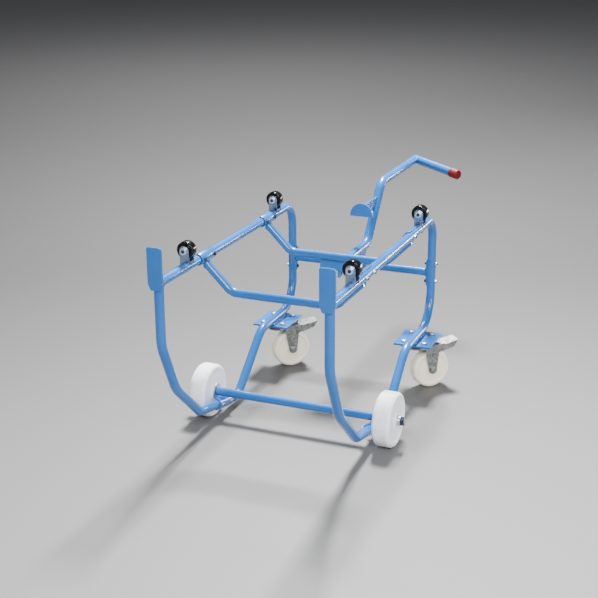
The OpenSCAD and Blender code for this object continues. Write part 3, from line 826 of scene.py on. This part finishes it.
@dataclass
class SideFrame:
    """One bent tube side of the dolly with its tipping blade and caster mounting plate.

    Attributes:
        side: Left or right.
        stock: The finishes.
    """

    side: Side
    stock: Stock

    def centre_line(self) -> np.ndarray:
        """The bent centre line, from the leg's top round to the front end of the rail.

        The leaning leg falls at 25 degrees to the upright and the tube rises to it from the heel
        at 42.6 degrees to the floor, so they meet at the low corner worked out here.

        Returns:
            Points of shape (n, 3).
        """
        slope, lean = math.tan(math.radians(42.6)), math.tan(math.radians(25))
        low_z = (slope * (HEEL[0] - LEG_Y - KNEE_Z * lean) + HEEL[1]) / (1 - slope * lean)
        low_y = LEG_Y + (KNEE_Z - low_z) * lean
        run_z = MOUNT_TOP + TUBE_R
        rise_y = FOOT[0] + (run_z - FOOT[1]) / math.tan(math.radians(40))
        bends = (
            (LEG_Y, RAIL_Z + TUBE_R, 0),
            (LEG_Y, KNEE_Z, 120),
            (low_y, low_z, 120),
            (*HEEL, 45),
            (*FOOT, 50),
            (rise_y, run_z, 90),
            (POST_Y, run_z, 100),
            (POST_Y, RAIL_Z, 70),
            (LEG_Y, RAIL_Z, 0),
        )
        return bent_line([(self.side.x, y, z) for y, z, _ in bends], [r for _, _, r in bends])

    def tube(self) -> None:
        """The tube in one piece, with a rounded lid on the leg."""
        lid = rounded(
            [
                (0, TUBE_R, 0),
                (0.01, TUBE_R, 0),
                (0.8, TUBE_R - 0.6, 0.6),
                (0.8, NEARLY_AXIS, 0),
            ]
        )
        top = (self.side.x, LEG_Y, RAIL_Z + TUBE_R - 0.8)
        sheets = [
            Sheet(sweep(self.centre_line(), TUBE_R, (1, 0, 0)), cap_end=True),
            Sheet(revolve(lid, top, (0, 0, 1), TUBE_STEPS), cap_end=True),
        ]
        word = self.side.word
        nodes = [f"{n}_{word}" for n in ("front_leg", "rocker_tube", "rear_leg", "drum_rail")]
        self.stock.frame.build(f"side_tube_{word}", sheets, "frame", *nodes)

    def plates(self) -> None:
        """The blade and the caster mounting plate, with their edges rounded by the coat."""
        word, paint = self.side.word, self.stock.frame
        paint.press(f"tipping_blade_{word}", f"blade_plate_{word}", 1.3, "frame")
        paint.press(f"caster_mount_{word}", f"mount_plate_{word}", 1.0, "frame")

    def welds(self) -> None:
        """Beads of the rail on the leg, the blade on the leg and the tube on its plate."""
        x, t = self.side.x, circle(72)
        round_leg = LEG_Y + TUBE_R * np.abs(np.sin(t)) + 0.6
        around = np.stack([x + TUBE_R * np.cos(t), round_leg, RAIL_Z + TUBE_R * np.sin(t)], axis=1)
        sheets = [closed_bead(around, np.array([x, LEG_Y, RAIL_Z]), 2.2)]
        for s in (-1, 1):
            z = np.linspace(RAIL_Z - 14, RAIL_Z + TUBE_R - 2, 12)
            edge = [np.full_like(z, x + s * 6.5), np.full_like(z, LEG_Y - TUBE_R + 1.2), z]
            sheets.append(bead(np.stack(edge, axis=1), (s, -0.4, 0), 2.4))
            y = np.linspace(along(372), along(470), 40)
            foot = [np.full_like(y, x + s * 7.5), y, np.full_like(y, MOUNT_TOP + 1.4)]
            sheets.append(bead(np.stack(foot, axis=1), (s, 0, 0.5), 2.6))
        self.stock.frame.build(f"side_welds_{self.side.word}", sheets, "frame")

    def build(self) -> None:
        """Builds the whole side."""
        self.tube()
        self.plates()
        self.welds()


# ---- Crossbars ----


@dataclass(frozen=True)
class Seat:
    """Where a saddle sits.

    Attributes:
        centre: Its middle, on the tube's centre line.
        tube: Direction of the tube.
        side: The side frame that it is on.
        node: The CAD node that it belongs to.
    """

    centre: np.ndarray
    tube: np.ndarray
    side: Side
    node: str


@dataclass
class Crossbars:
    """The bars that hold the sides apart, with their saddles, bolts and nuts.

    Attributes:
        stock: The finishes.
        level: Half length and height of a drum crossbar's level middle.
        saddle_out: Outer radius of a saddle.
        saddle_t: Thickness of a saddle.
        saddle_length: Length of a saddle along its tube.
        lap: How far a saddle reaches past the middle of its tube.
        pitch: Distance between a saddle's two bolts.
    """

    stock: Stock
    level: tuple[float, float] = (155.0, 431.0)
    saddle_out: float = 17.5
    saddle_t: float = 4.0
    saddle_length: float = 84.0
    lap: float = 2.0
    pitch: float = 60.0

    def seats(self) -> list[Seat]:
        """The eight saddles' seats, side by side."""
        fall = math.atan2(HEEL[1] - FOOT[1], FOOT[0] - HEEL[0])
        rocker_z = HEEL[1] - (AXLE_Y - HEEL[0]) * math.tan(fall)
        up = np.array([0.0, -math.cos(fall), math.sin(fall)])
        out = []
        for side in Side:
            for y, z, tube, node in (
                (BAR_Y["front"], RAIL_Z, np.array([0.0, -1.0, 0.0]), "rail_saddles"),
                (BAR_Y["rear"], RAIL_Z, np.array([0.0, -1.0, 0.0]), "rail_saddles"),
                (POST_Y, BRACE_Z, np.array([0.0, 0.0, 1.0]), "post_saddles"),
                (AXLE_Y, rocker_z, up, "axle_saddles"),
            ):
                out.append(Seat(np.array([side.x, y, z]), tube, side, node))
        return out

    def saddle(self, seat: Seat) -> Sheet:
        """One pressed saddle: a shell round the inner half of a tube, with rounded lips and ends.

        A point is centre + s * tube + r * (cos(t) * inward + sin(t) * across), where s runs along
        the tube, r is the inner or outer radius and t covers the inner half and a little more. The
        section is a closed loop of the outer arc, a rounded lip, the inner arc and the other lip,
        and it shrinks towards its own middle at both ends.

        Args:
            seat: Where it sits.

        Returns:
            Its surface.
        """
        outer, inner = self.saddle_out, self.saddle_out - self.saddle_t + 0.05
        middle, size = (outer + inner) / 2, (outer - inner) / 2
        end = math.radians(90) + math.asin(self.lap / outer)
        t = np.linspace(-end, end, 33)
        arc = np.linspace(0, math.pi, 6)[1:-1]
        lips = []
        for sign in (1, -1):
            radial = np.array([math.cos(end), sign * math.sin(end)])
            over = 0.6 * size * np.array([-math.sin(end), sign * math.cos(end)])
            lips.append(
                (middle + size * np.cos(arc))[:, None] * radial + np.sin(arc)[:, None] * over
            )
        half_shell = np.stack([np.cos(t), np.sin(t)], axis=1)
        loop = np.concatenate(
            [outer * half_shell, lips[0], inner * half_shell[::-1], lips[1][::-1]]
        )
        ends = self.saddle_length / 2 - np.array([0.0, 0.4, 1.4])
        s = np.concatenate([-ends, ends[::-1]])
        shrink = np.array([0.9, 0.35, 0.0, 0.0, 0.35, 0.9])
        radius = np.hypot(loop[:, 0], loop[:, 1])
        squeezed = loop[None] * (
            (radius - shrink[:, None] * np.sign(radius - middle)) / radius
        )[..., None]
        points = (
            seat.centre
            + s[:, None, None] * seat.tube
            + squeezed[..., 0, None] * seat.side.inward
            + squeezed[..., 1, None] * np.cross(seat.tube, seat.side.inward)
        )
        return Sheet(points, cap_start=True, cap_end=True)

    def bar_fall(self, side: Side) -> np.ndarray:
        """Direction of a drum crossbar's sloping end, from the rail down towards the middle."""
        x, z = self.level
        return unit(np.array([side.value * (x - HALF_TRACK), 0.0, z - BAR_END_Z]))

    def reach(self, start: np.ndarray, side: Side, sink: float = 0.0) -> np.ndarray:
        """Distance down the bar's fall from points to a rail saddle's outer face.

        It is the larger root d of |start + d * fall - rail|^2 = the saddle's outer radius squared,
        in the plane across the rail, and at least what ends 3 mm inside the rail's centre line.

        Args:
            start: Points of shape (n, 3).
            side: The side frame.
            sink: How far the end goes into the saddle.

        Returns:
            One distance for each point.
        """
        fall = self.bar_fall(side)
        across = start[:, [0, 2]] - np.array([side.x, RAIL_Z])
        b = across @ fall[[0, 2]]
        c = np.sum(across**2, axis=1) - self.saddle_out**2
        least = (np.abs(start[:, 0]) - HALF_TRACK + 3.0) / abs(fall[0])
        return np.maximum(-b + np.sqrt(np.clip(b**2 - c, 0, None)) - sink, least)

    def bars(self) -> None:
        """The two dropped drum crossbars, the rear brace and the axle bar."""
        x, z = self.level
        for word, y in BAR_Y.items():
            ends = [(k * HALF_TRACK, y, BAR_END_Z) for k in (-1, 1)]
            corners = [ends[0], (-x, y, z), (x, y, z), ends[1]]
            ring = sweep(bent_line(corners, [0, 45, 45, 0]), BAR_R, (0, 1, 0))
            for k, side in ((0, Side.LEFT), (-1, Side.RIGHT)):
                ring[k] += self.reach(ring[k], side, 0.4)[:, None] * self.bar_fall(side)
            sheets = [Sheet(ring, cap_start=True, cap_end=True)]
            self.stock.frame.build(f"{word}_drum_bar", sheets, "frame", f"{word}_crossbar")
        for name, node, half, y, z, chamfer in (
            ("brace_bar", "rear_brace", HALF_TRACK - 15.5, POST_Y, BRACE_Z, 0.3),
            ("axle_tube", "axle_bar", 254.0, AXLE_Y, AXLE_Z, 0.6),
        ):
            bar = rod((-half, y, z), (half, y, z), BAR_R, chamfer, TUBE_STEPS)
            self.stock.frame.build(name, [bar], "frame", node)

    def saddles(self) -> None:
        """All eight saddles, as the three CAD nodes that they stand for."""
        for node in ("rail_saddles", "post_saddles"):
            sheets = [self.saddle(seat) for seat in self.seats() if seat.node == node]
            self.stock.frame.build(f"{node}_pressed", sheets, "frame", node)
        self.stock.frame.press("axle_saddles", "axle_saddles_pressed", 0.7, "frame")

    def welds(self) -> None:
        """Bead round each bar's end where it meets its saddle."""
        t = circle(60)
        sheets = []
        for side in Side:
            fall = self.bar_fall(side)
            level = np.array([0.0, 1.0, 0.0])
            across = np.cross(fall, level)
            ring = BAR_R * (np.cos(t)[:, None] * level + np.sin(t)[:, None] * across)
            for y in BAR_Y.values():
                start = np.array([side.x, y, BAR_END_Z])
                reach = self.reach(start + ring, side)
                line = start + ring + reach[:, None] * fall
                sheets.append(closed_bead(line, start + reach.mean() * fall, 1.5))
            start = np.array([side.x, POST_Y, BRACE_Z])
            ring = BAR_R * np.stack([0 * t, np.cos(t), np.sin(t)], axis=1)
            out = np.sqrt(np.clip(self.saddle_out**2 - ring[:, 1] ** 2, 0, None))
            line = start + ring + out[:, None] * side.inward
            sheets.append(closed_bead(line, start + 14.0 * side.inward, 2.0))
        self.stock.frame.build("crossbar_welds", sheets, "frame")

    def bolts(self) -> None:
        """Saddle bolts, and the nuts on the other side of the tube, reversed on the rockers."""
        head, nut, radius = Hex(10, 4), Hex(10, 5.2, 3.0), 3.0
        heads, nuts = [], []
        for seat in self.seats():
            rocker = seat.node == "axle_saddles"
            bolt = -seat.side.inward if rocker else seat.side.inward
            near, far = (TUBE_R, self.saddle_out) if rocker else (self.saddle_out, TUBE_R)
            for s in (-1, 1):
                place = seat.centre + s * self.pitch / 2 * seat.tube
                top, under = place + near * bolt, place - far * bolt
                heads.append(head.sheet(top, bolt))
                heads.append(rod(top - 0.2 * bolt, under - 0.2 * bolt, radius, 0.1, 24))
                nuts.append(nut.sheet(under, -bolt))
                heads.append(threaded_end(under - 5.0 * bolt, -bolt, radius))
        self.stock.black.build("saddle_bolt_heads", heads, "frame", "saddle_bolts")
        self.stock.zinc.build("saddle_hex_nuts", nuts, "frame", "saddle_nuts")

    def build(self) -> None:
        """Builds every bar and what holds it."""
        self.bars()
        self.saddles()
        self.welds()
        self.bolts()


# ---- Drum rollers ----


@dataclass
class Rollers:
    """The four drum rollers in their folded forks.

    Attributes:
        stock: The finishes.
        axle_z: Height of the rollers' axles.
        radius: Radius of a roller.
        width: Width of a roller.
    """

    stock: Stock
    axle_z: float = 577.0
    radius: float = 25.0
    width: float = 25.0

    def section(self) -> np.ndarray:
        """Section of a roller: rounded tread, dished faces and a small hub."""
        w = self.width / 2
        return mirrored(
            [
                (-w, 5.1, 0),
                (-w, 9.6, 0.5),
                (-w + 1.5, 10.2, 0.4),
                (-w + 1.5, 18.0, 0.6),
                (-w, 19.2, 0.6),
                (-w, self.radius, 3.2),
            ]
        )

    def build(self) -> None:
        """Builds the rollers, forks, bolts and nuts."""
        bolts, nuts = [], []
        back, seat = np.array([0.0, 1.0, 0.0]), self.width / 2 + 3.5
        for side in Side:
            for station in Station:
                centre = np.array([side.x, along(station.value), self.axle_z])
                word = f"{station.word}_{side.word}"
                tyre = turned(self.section(), centre, back, 80)
                body, node = f"drum_roller_{word}_body", f"drum_roller_{word}"
                self.stock.roller.build(f"roller_tyre_{word}", [tyre], body, node)
                self.stock.fork.press(f"roller_fork_{word}", f"folded_fork_{word}", 0.7, "frame")
                bolts += [
                    Hex(17, 6.4).sheet(centre + seat * back, back),
                    rod(centre + (seat + 0.1) * back, centre - seat * back, 5.0, 0.1, 32),
                    threaded_end(centre - (seat + 7.8) * back, -back, 5.0),
                ]
                nuts.append(Hex(17, 8, 5.0).sheet(centre - seat * back, -back))
        self.stock.dark.build("roller_axle_bolts", bolts, "frame", "roller_bolts")
        # The roller nuts take the lighter zinc, a painted highlight.
        self.stock.bright.build("roller_hex_nuts", nuts, "frame", "roller_nuts")


# ---- Front wheels ----


@dataclass
class FrontWheels:
    """The two fixed nylon wheels on their through axle.

    Attributes:
        stock: The finishes.
        radius: Radius of a wheel.
        inner_x: Where a wheel's inner face is, counted outwards.
        width: Width of a wheel.
        sleeve: Where a hub sleeve starts and ends, counted outwards.
    """

    stock: Stock
    radius: float = 80.0
    inner_x: float = 259.5
    width: float = 53.0
    sleeve: tuple[float, float] = (259.0, 320.5)

    def section(self) -> np.ndarray:
        """Section of a wheel: crowned tread, round shoulders and a dished web on both faces."""
        w, r = self.width / 2, self.radius
        return mirrored(
            [
                (-w, 14.0, 0),
                (-w, 21.5, 1.2),
                (-w + 3, 23.0, 1.2),
                (-w + 3, 60.5, 2.0),
                (-w + 0.6, 63.5, 1.6),
                (-w, r - 8, 1.0),
                (-w + 1.2, r - 4.5, 5.0),
                (-w + 8, r - 0.3, 6.0),
                (-w + 14, r, 2.0),
            ]
        )

    def wheel(self, side: Side) -> None:
        """One wheel and its hub sleeve."""
        word, x_axis = side.word, (1.0, 0.0, 0.0)
        body = f"front_wheel_{word}_body"
        centre = (side.value * (self.inner_x + self.width / 2), AXLE_Y, self.radius)
        body_colour, dirt = (0.92, 0.94, 0.99), (0.5, 0.5, 0.5)
        nylon = Nylon(
            f"white_nylon_{word}", body_colour, dirt, self.radius - 3, centre, x_axis
        ).material()
        Finish(nylon, "front_wheel_nylon").build(
            f"nylon_wheel_{word}",
            [turned(self.section(), centre, x_axis, 112)],
            body,
            f"front_wheel_{word}",
        )
        low, high = self.sleeve
        start = (low if side is Side.RIGHT else -high, AXLE_Y, self.radius)
        ring = collar(0, high - low, 8.1, 13.9, (0.6, 0.8))
        self.stock.zinc.build(
            f"wheel_sleeve_{word}", [turned(ring, start, x_axis, 56)], body, f"hub_sleeve_{word}"
        )

    def build(self) -> None:
        """Builds both wheels, their sleeves, the axle, washers and nuts."""
        y, z = AXLE_Y, self.radius
        nuts, washers = [], []
        axle = [rod((-333.0, y, z), (333.0, y, z), 7.98, 0.8, 48)]
        for side in Side:
            self.wheel(side)
            k = side.value
            outward = (k, 0, 0)
            for place, thick, size in ((254.5, 4.0, 23.0), (321.0, 2.5, 15.0)):
                ring = collar(0, thick, 8.3, size)
                washers.append(turned(ring, (k * place, y, z), outward, 56))
            nuts.append(Hex(24, 10, 8.0).sheet((k * 323.5, y, z), outward))
            axle.append(threaded_end((k * 332.7, y, z), outward, 7.9))
        self.stock.zinc.build("thrust_washers", washers, "frame", "axle_washers")
        self.stock.dark.build("axle_hex_nuts", nuts, "frame", "axle_nuts")
        self.stock.zinc.build("axle_rod", axle, "frame", "front_axle")


# ---- Casters ----


@dataclass
class Caster:
    """One braked swivel caster, built in its own frame whose +X trails from the swivel axis.

    Attributes:
        side: Left or right.
        stock: The finishes.
        trail: Distance from the swivel axis back to the axle.
        radius: Radius of the wheel.
        width: Width of the wheel.
        turn: Direction in which the caster trails, from +X towards +Y, in degrees.
    """

    side: Side
    stock: Stock
    trail: float = 44.0
    radius: float = 62.5
    width: float = 40.0
    turn: float = 44.0

    def place(self, x: float, z: float) -> np.ndarray:
        """A point of the caster's own middle plane in the dolly's frame."""
        a = math.radians(self.turn)
        return np.array([self.side.x + x * math.cos(a), CASTER_Y + x * math.sin(a), z])

    @property
    def axle(self) -> np.ndarray:
        """Direction of the wheel's axle."""
        a = math.radians(self.turn)
        return np.array([-math.sin(a), math.cos(a), 0.0])

    def section(self) -> np.ndarray:
        """Section of the wheel: round tread, deep dished faces and a raised hub."""
        w, r = self.width / 2, self.radius
        return mirrored(
            [
                (-w, 10.0, 0),
                (-w, 18.5, 1.5),
                (-w + 4, 21.5, 1.5),
                (-w + 4, 45.5, 2.5),
                (-w + 0.8, 50.0, 1.5),
                (-w, r - 9, 1.0),
                (-w + 2.2, r - 3.2, 4.0),
                (-w + 8, r - 0.2, 5.0),
                (-w + 12, r, 2.0),
            ]
        )

    def wheel(self) -> None:
        """The nylon wheel and its sleeve."""
        word, centre = self.side.word, self.place(self.trail, self.radius)
        body = f"caster_wheel_{word}_body"
        body_colour, dirt = (0.92, 0.86, 0.67), (0.4, 0.38, 0.34)
        nylon = Nylon(
            f"cream_nylon_{word}", body_colour, dirt, self.radius - 2.5, centre, self.axle
        ).material()
        tyre = turned(self.section(), centre, self.axle, 96)
        Finish(nylon, "caster_wheel_nylon").build(
            f"caster_tyre_{word}", [tyre], body, f"caster_wheel_{word}"
        )
        sleeve = turned(collar(-22, 22, 6.1, 9.98), centre, self.axle, 48)
        self.stock.zinc.build(f"caster_tube_{word}", [sleeve], body, f"caster_sleeve_{word}")

    def steel(self) -> None:
        """Top plate, fork, pedal and crown flange as pressed sheet, and the seal ring."""
        word, steel, up = self.side.word, self.stock.galvanised, (0, 0, 1)
        swivel = f"caster_swivel_{word}"
        steel.press(f"caster_plate_{word}", f"top_plate_{word}", 0.8, "frame")
        steel.press(f"caster_fork_{word}", f"pressed_fork_{word}", 0.7, swivel)
        pedal = f"brake_pedal_{word}"
        steel.press(pedal, f"pressed_pedal_{word}", 0.6, f"{pedal}_body")
        rim = rounded(
            [(0, 31.0, 0), (0, 35.2, 0.8), (2.0, 36.6, 0.8), (5.6, 36.6, 1.0), (5.6, 31.0, 0)]
        )
        flange = turned(rim, self.place(0, 137.3), up, 72)
        steel.build(f"crown_flange_{word}", [flange], swivel)
        ring = rounded(
            [(0, 30.5, 0), (0, 37.2, 1.5), (4.0, 36.4, 1.0), (8.5, 35.0, 1.2), (8.5, 30.5, 0)]
        )
        seal = turned(ring, self.place(0, 143.0), up, 72)
        self.stock.seal.build(f"race_seal_{word}", [seal], swivel, f"swivel_seal_{word}")

    def bolt(self) -> None:
        """The wheel's axle bolt with its head and nut."""
        word, a = self.side.word, self.axle
        centre, out = self.place(self.trail, self.radius), 25.5
        sheets = [
            rod(centre + out * a, centre - out * a, 5.98, 0.1, 40),
            Hex(19, 7.5).sheet(centre + out * a, a),
            Hex(19, 8, 6.0).sheet(centre - out * a, -a),
            threaded_end(centre - (out + 7.8) * a, -a, 5.9),
        ]
        self.stock.dull.build(
            f"caster_axle_bolt_{word}", sheets, f"caster_swivel_{word}", f"caster_bolt_{word}"
        )

    def build(self) -> None:
        """Builds the whole caster."""
        self.wheel()
        self.steel()
        self.bolt()


def mounting_bolts(stock: Stock) -> None:
    """The bolts and nuts that hold both casters to the frame's plates, and thin dark sheets on the
    plates, painted as the shade inside each slot.

    The painted shade of a slot is a circle of radius r whose halves are pulled apart:
    x = r * cos(t) + shift(t), with shift(t) = 7.5 * tanh(6 * cos(t)).

    Args:
        stock: The finishes.
    """
    heads, nuts, slot_shades = [], [], []
    up, t, r = np.array([0.0, 0.0, 1.0]), circle(48), 4.6
    shift = 7.5 * np.tanh(6 * np.cos(t))
    corners = [(side, sx, sy) for side in Side for sx in (-1, 1) for sy in (-1, 1)]
    for side, sx, sy in corners:
        at = np.array([side.x + sx * 33, CASTER_Y + sy * 43, 0.0])
        rows = []
        for q, z in ((1.0, 165.8), (1.0, 166.12), (0.02, 166.12)):
            x, y = q * r * np.cos(t) + shift * min(1, 4 * q), q * r * np.sin(t)
            rows.append(at + np.stack([x, y, 0 * t + z], axis=1))
        slot_shades.append(Sheet(np.stack(rows), cap_start=True, cap_end=True))
        heads += [
            Hex(13, 5.3).sheet(at + MOUNT_TOP * up, up),
            rod(at + 166.1 * up, at + 149.2 * up, 4.0, 0.1, 24),
            threaded_end(at + 149.4 * up, -up, 4.0),
        ]
        nuts.append(Hex(13, 6.8, 4.0).sheet(at + 156 * up, -up))
    # Painted shade: dark sheets on the plates where the slots lie in shadow.
    stock.black.build("painted_slot_shade", slot_shades, "frame")
    stock.zinc.build("mount_bolt_heads", heads, "frame", "mount_bolts")
    stock.zinc.build("mount_hex_nuts", nuts, "frame", "mount_nuts")


# ---- Lever ----


@dataclass
class Lever:
    """The lift-off lever: bent tube, mitred handle, rim claw, hook, foot and end cap.

    Attributes:
        stock: The finishes.
        tube_r: Radius of the tube.
        low: Height of the lower run.
        high: Height of the upper run.
        slope: Slope of the middle run, in degrees.
        handle: Length of the handle in millimetres, its turn and its drop in degrees.
        front: Y of the tube's front end.
    """

    stock: Stock
    tube_r: float = 15.0
    low: float = 400.0
    high: float = 577.0
    slope: float = 51.5
    handle: tuple[float, float, float] = (232.0, -33.0, 4.0)
    front: float = along(395)

    @property
    def direction(self) -> np.ndarray:
        """Direction of the handle."""
        turn, drop = math.radians(self.handle[1]), math.radians(self.handle[2])
        flat = math.cos(drop)
        return np.array([math.cos(turn) * flat, math.sin(turn) * flat, -math.sin(drop)])

    @property
    def mitre(self) -> np.ndarray:
        """Where the tube's and the handle's centre lines meet."""
        return np.array([0.0, along(1152), self.high])

    def skin(self) -> np.ndarray:
        """Tube and handle as one skin, whose ring at the mitre lies in the mitre plane.

        A point p of the last ring of the tube is slid along Y onto the plane through the mitre
        whose normal is the sum of both directions, and the handle's rings are that ring's points
        slid on along the handle.

        Returns:
            Points of shape (rings, TUBE_STEPS, 3). The mitre's ring is the third from the end.
        """
        bend = along(622)
        top = bend + (self.high - self.low) / math.tan(math.radians(self.slope))
        corners = [(0, self.front, self.low), (0, bend, self.low), (0, top, self.high), self.mitre]
        ring = sweep(bent_line(corners, [0, 65, 65, 0]), self.tube_r, (1, 0, 0))
        along_tube, along_handle = np.array([0.0, 1.0, 0.0]), self.direction
        normal = unit(along_tube + along_handle)
        slide = ((self.mitre - ring[-1]) @ normal) / (along_tube @ normal)
        joint = ring[-1] + slide[:, None] * along_tube
        far = self.mitre + along_handle * self.handle[0]
        reach = ((far - joint) @ along_handle)[:, None]
        steps = np.array([0.0, 0.5, 1.0])[:, None, None]
        return np.concatenate([ring[:-1], joint + steps * reach * along_handle])

    def cap(self) -> None:
        """Vinyl cap on the handle's end, with a rolled mouth and a rounded end."""
        length, lip, skirt = 36.0, self.tube_r + 2.5, self.tube_r + 1.9
        start = self.mitre + self.direction * (self.handle[0] - length + 2.5)
        corners = [
            (0, self.tube_r, 0),
            (0, lip, 0.9),
            (3.0, lip, 0.6),
            (3.6, skirt, 0.6),
            (length, skirt, 6.5),
            (length, NEARLY_AXIS, 0),
        ]
        points = revolve(rounded(corners, 8), start, self.direction, TUBE_STEPS)
        self.stock.cap.build("vinyl_cap", [Sheet(points, cap_end=True)], "lever", "lever_cap")

    def welds(self, joint: np.ndarray) -> None:
        """Beads at the mitre, where the tube meets the hook and along the claw's rib.

        Args:
            joint: The ring of the tube at the mitre.
        """
        t = circle(60)
        z = self.low + self.tube_r * np.sin(t)
        ring = np.stack([self.tube_r * np.cos(t), 0 * t + self.front + 0.5, z], axis=1)
        sunk = self.mitre + 0.94 * (joint - self.mitre)
        sheets = [
            closed_bead(sunk, self.mitre, 0.8),
            closed_bead(ring, np.array([0, self.front, self.low]), 2.2),
        ]
        for s in (-1, 1):
            z = np.linspace(509, 536, 12)
            seam = [np.full_like(z, s * 4.6), np.full_like(z, along(570) + 0.6), z]
            sheets.append(bead(np.stack(seam, axis=1), (s, 1, 0), 2.2))
        self.stock.lever.build("lever_welds", sheets, "lever")

    def build(self) -> None:
        """Builds the whole lever."""
        skin, paint = self.skin(), self.stock.lever
        pipe = Sheet(skin, cap_start=True, cap_end=True)
        paint.build("lever_pipe", [pipe], "lever", "lever_tube", "lever_handle")
        self.cap()
        paint.press("lever_claw", "rim_claw", 0.9, "lever")
        paint.press("lever_hook", "hook_block", 1.2, "lever")
        paint.press("lever_foot", "brace_foot", 0.8, "lever")
        self.welds(skin[-3])


# ---- Studio ----


@dataclass
class Studio:
    """Pale floor, soft lights and the camera.

    Attributes:
        eye: Camera position, in metres.
        azimuth: Camera's turn about Z from looking along +Y, in degrees.
        elevation: Height of the view above the horizon, in degrees.
        roll: Turn about the line of sight, in degrees.
        lens: Focal length on a 36 mm sensor.
        lamps: Each lamp's name, place, aim, size and power in watts.
    """

    eye: tuple[float, float, float] = (1.216, -2.924 + ORIGIN_Y * MM, 1.493)
    azimuth: float = 22.37
    elevation: float = 18.97
    roll: float = -0.25
    lens: float = 70.96
    lamps: tuple = (
        ("key", (-0.37, 2.0, 3.9), (0, -0.2, 0.2), (0.8, 0.8), 1050),
        ("front_fill", (1.8, -4.4, 3.2), (0, -0.4, 0.2), (2.4, 1.8), 310),
        ("left_fill", (-4.0, -1.5, 2.4), (0, 0, 0.3), (1.8, 1.8), 80),
        ("right_strip", (3.2, -1.6, 1.4), (0, 0, 0.4), (0.2, 2.4), 80),
        ("back_wash", (-2.6, 5.2, 4.6), (-2.6, 7.6, 0), (3.0, 2.0), 700),
        ("rear_strip", (2.2, 4.6, 0.6), (0.2, 0, 0.4), (1.8, 0.3), 110),
    )

    def floor(self) -> None:
        """A large pale floor with barely visible clouds, its colour darkened into the distance and
        towards the left as painted shade of the lamps' fall-off.
        """
        s = 40.0
        mesh = bpy.data.meshes.new("floor")
        mesh.from_pydata([(-s, -s, 0), (s, -s, 0), (-s, s, 0), (s, s, 0)], [], [[0, 1, 3, 2]])
        shop = Shop("pale_floor")
        clouds = shop.noise(0.8, 3)
        depth = shop.node("ShaderNodeSeparateXYZ", {}, {0: shop.coords}, 1)
        across = shop.node("ShaderNodeSeparateXYZ", {}, {0: shop.coords}, 0)
        # Painted shade: the floor's colour darkens with distance and towards the left in place of
        # the light falling off.
        far = (depth - across * 0.45).between(-2.6, 1.5)
        near = shop.mix(clouds, (0.215, 0.215, 0.217), (0.24, 0.24, 0.242))
        shop.feed("Base Color", shop.mix(far, near, (0.053, 0.053, 0.054)))
        shop.feed("Roughness", clouds.to(0.6, 0.7))
        mesh.materials.append(shop.material)
        linked("floor", mesh)

    def lights(self) -> None:
        """The even light of the world and the rectangular lamps."""
        world = bpy.data.worlds.new("soft_grey")
        world.use_nodes = True
        ground = world.node_tree.nodes["Background"]
        ground.inputs[0].default_value = (0.82, 0.84, 0.87, 1)
        ground.inputs[1].default_value = 0.28
        bpy.context.scene.world = world
        for name, at, aim, size, power in self.lamps:
            data = bpy.data.lights.new(name, "AREA")
            data.shape, data.size, data.size_y, data.energy = "RECTANGLE", *size, power
            lamp = linked(name, data)
            lamp.location = at
            lamp.rotation_euler = (Vector(aim) - Vector(at)).to_track_quat("-Z", "Y").to_euler()

    def camera(self) -> None:
        """The camera, looking down at the dolly from the right front."""
        data = bpy.data.cameras.new("camera")
        data.sensor_width, data.lens, data.clip_end = 36.0, self.lens, 200.0
        obj = linked("camera", data)
        a, e = math.radians(self.azimuth), math.radians(self.elevation)
        look = Vector((-math.sin(a) * math.cos(e), math.cos(a) * math.cos(e), -math.sin(e)))
        turn = look.to_track_quat("-Z", "Y").to_matrix().to_4x4()
        roll = Matrix.Rotation(math.radians(self.roll), 4, "Z")
        obj.matrix_world = Matrix.Translation(self.eye) @ turn @ roll
        bpy.context.scene.camera = obj

    def build(self) -> None:
        """Builds the studio."""
        self.floor()
        self.lights()
        self.camera()


def main() -> None:
    """Builds the dolly sub-assembly by sub-assembly, then the studio round it."""
    logging.basicConfig(level=logging.INFO, format="%(name)s %(message)s")
    stock = Stock()
    for side in Side:
        SideFrame(side, stock).build()
    Crossbars(stock).build()
    Rollers(stock).build()
    FrontWheels(stock).build()
    for side in Side:
        Caster(side, stock).build()
    mounting_bolts(stock)
    Lever(stock).build()
    Studio().build()


if __name__ == "__main__":
    main()
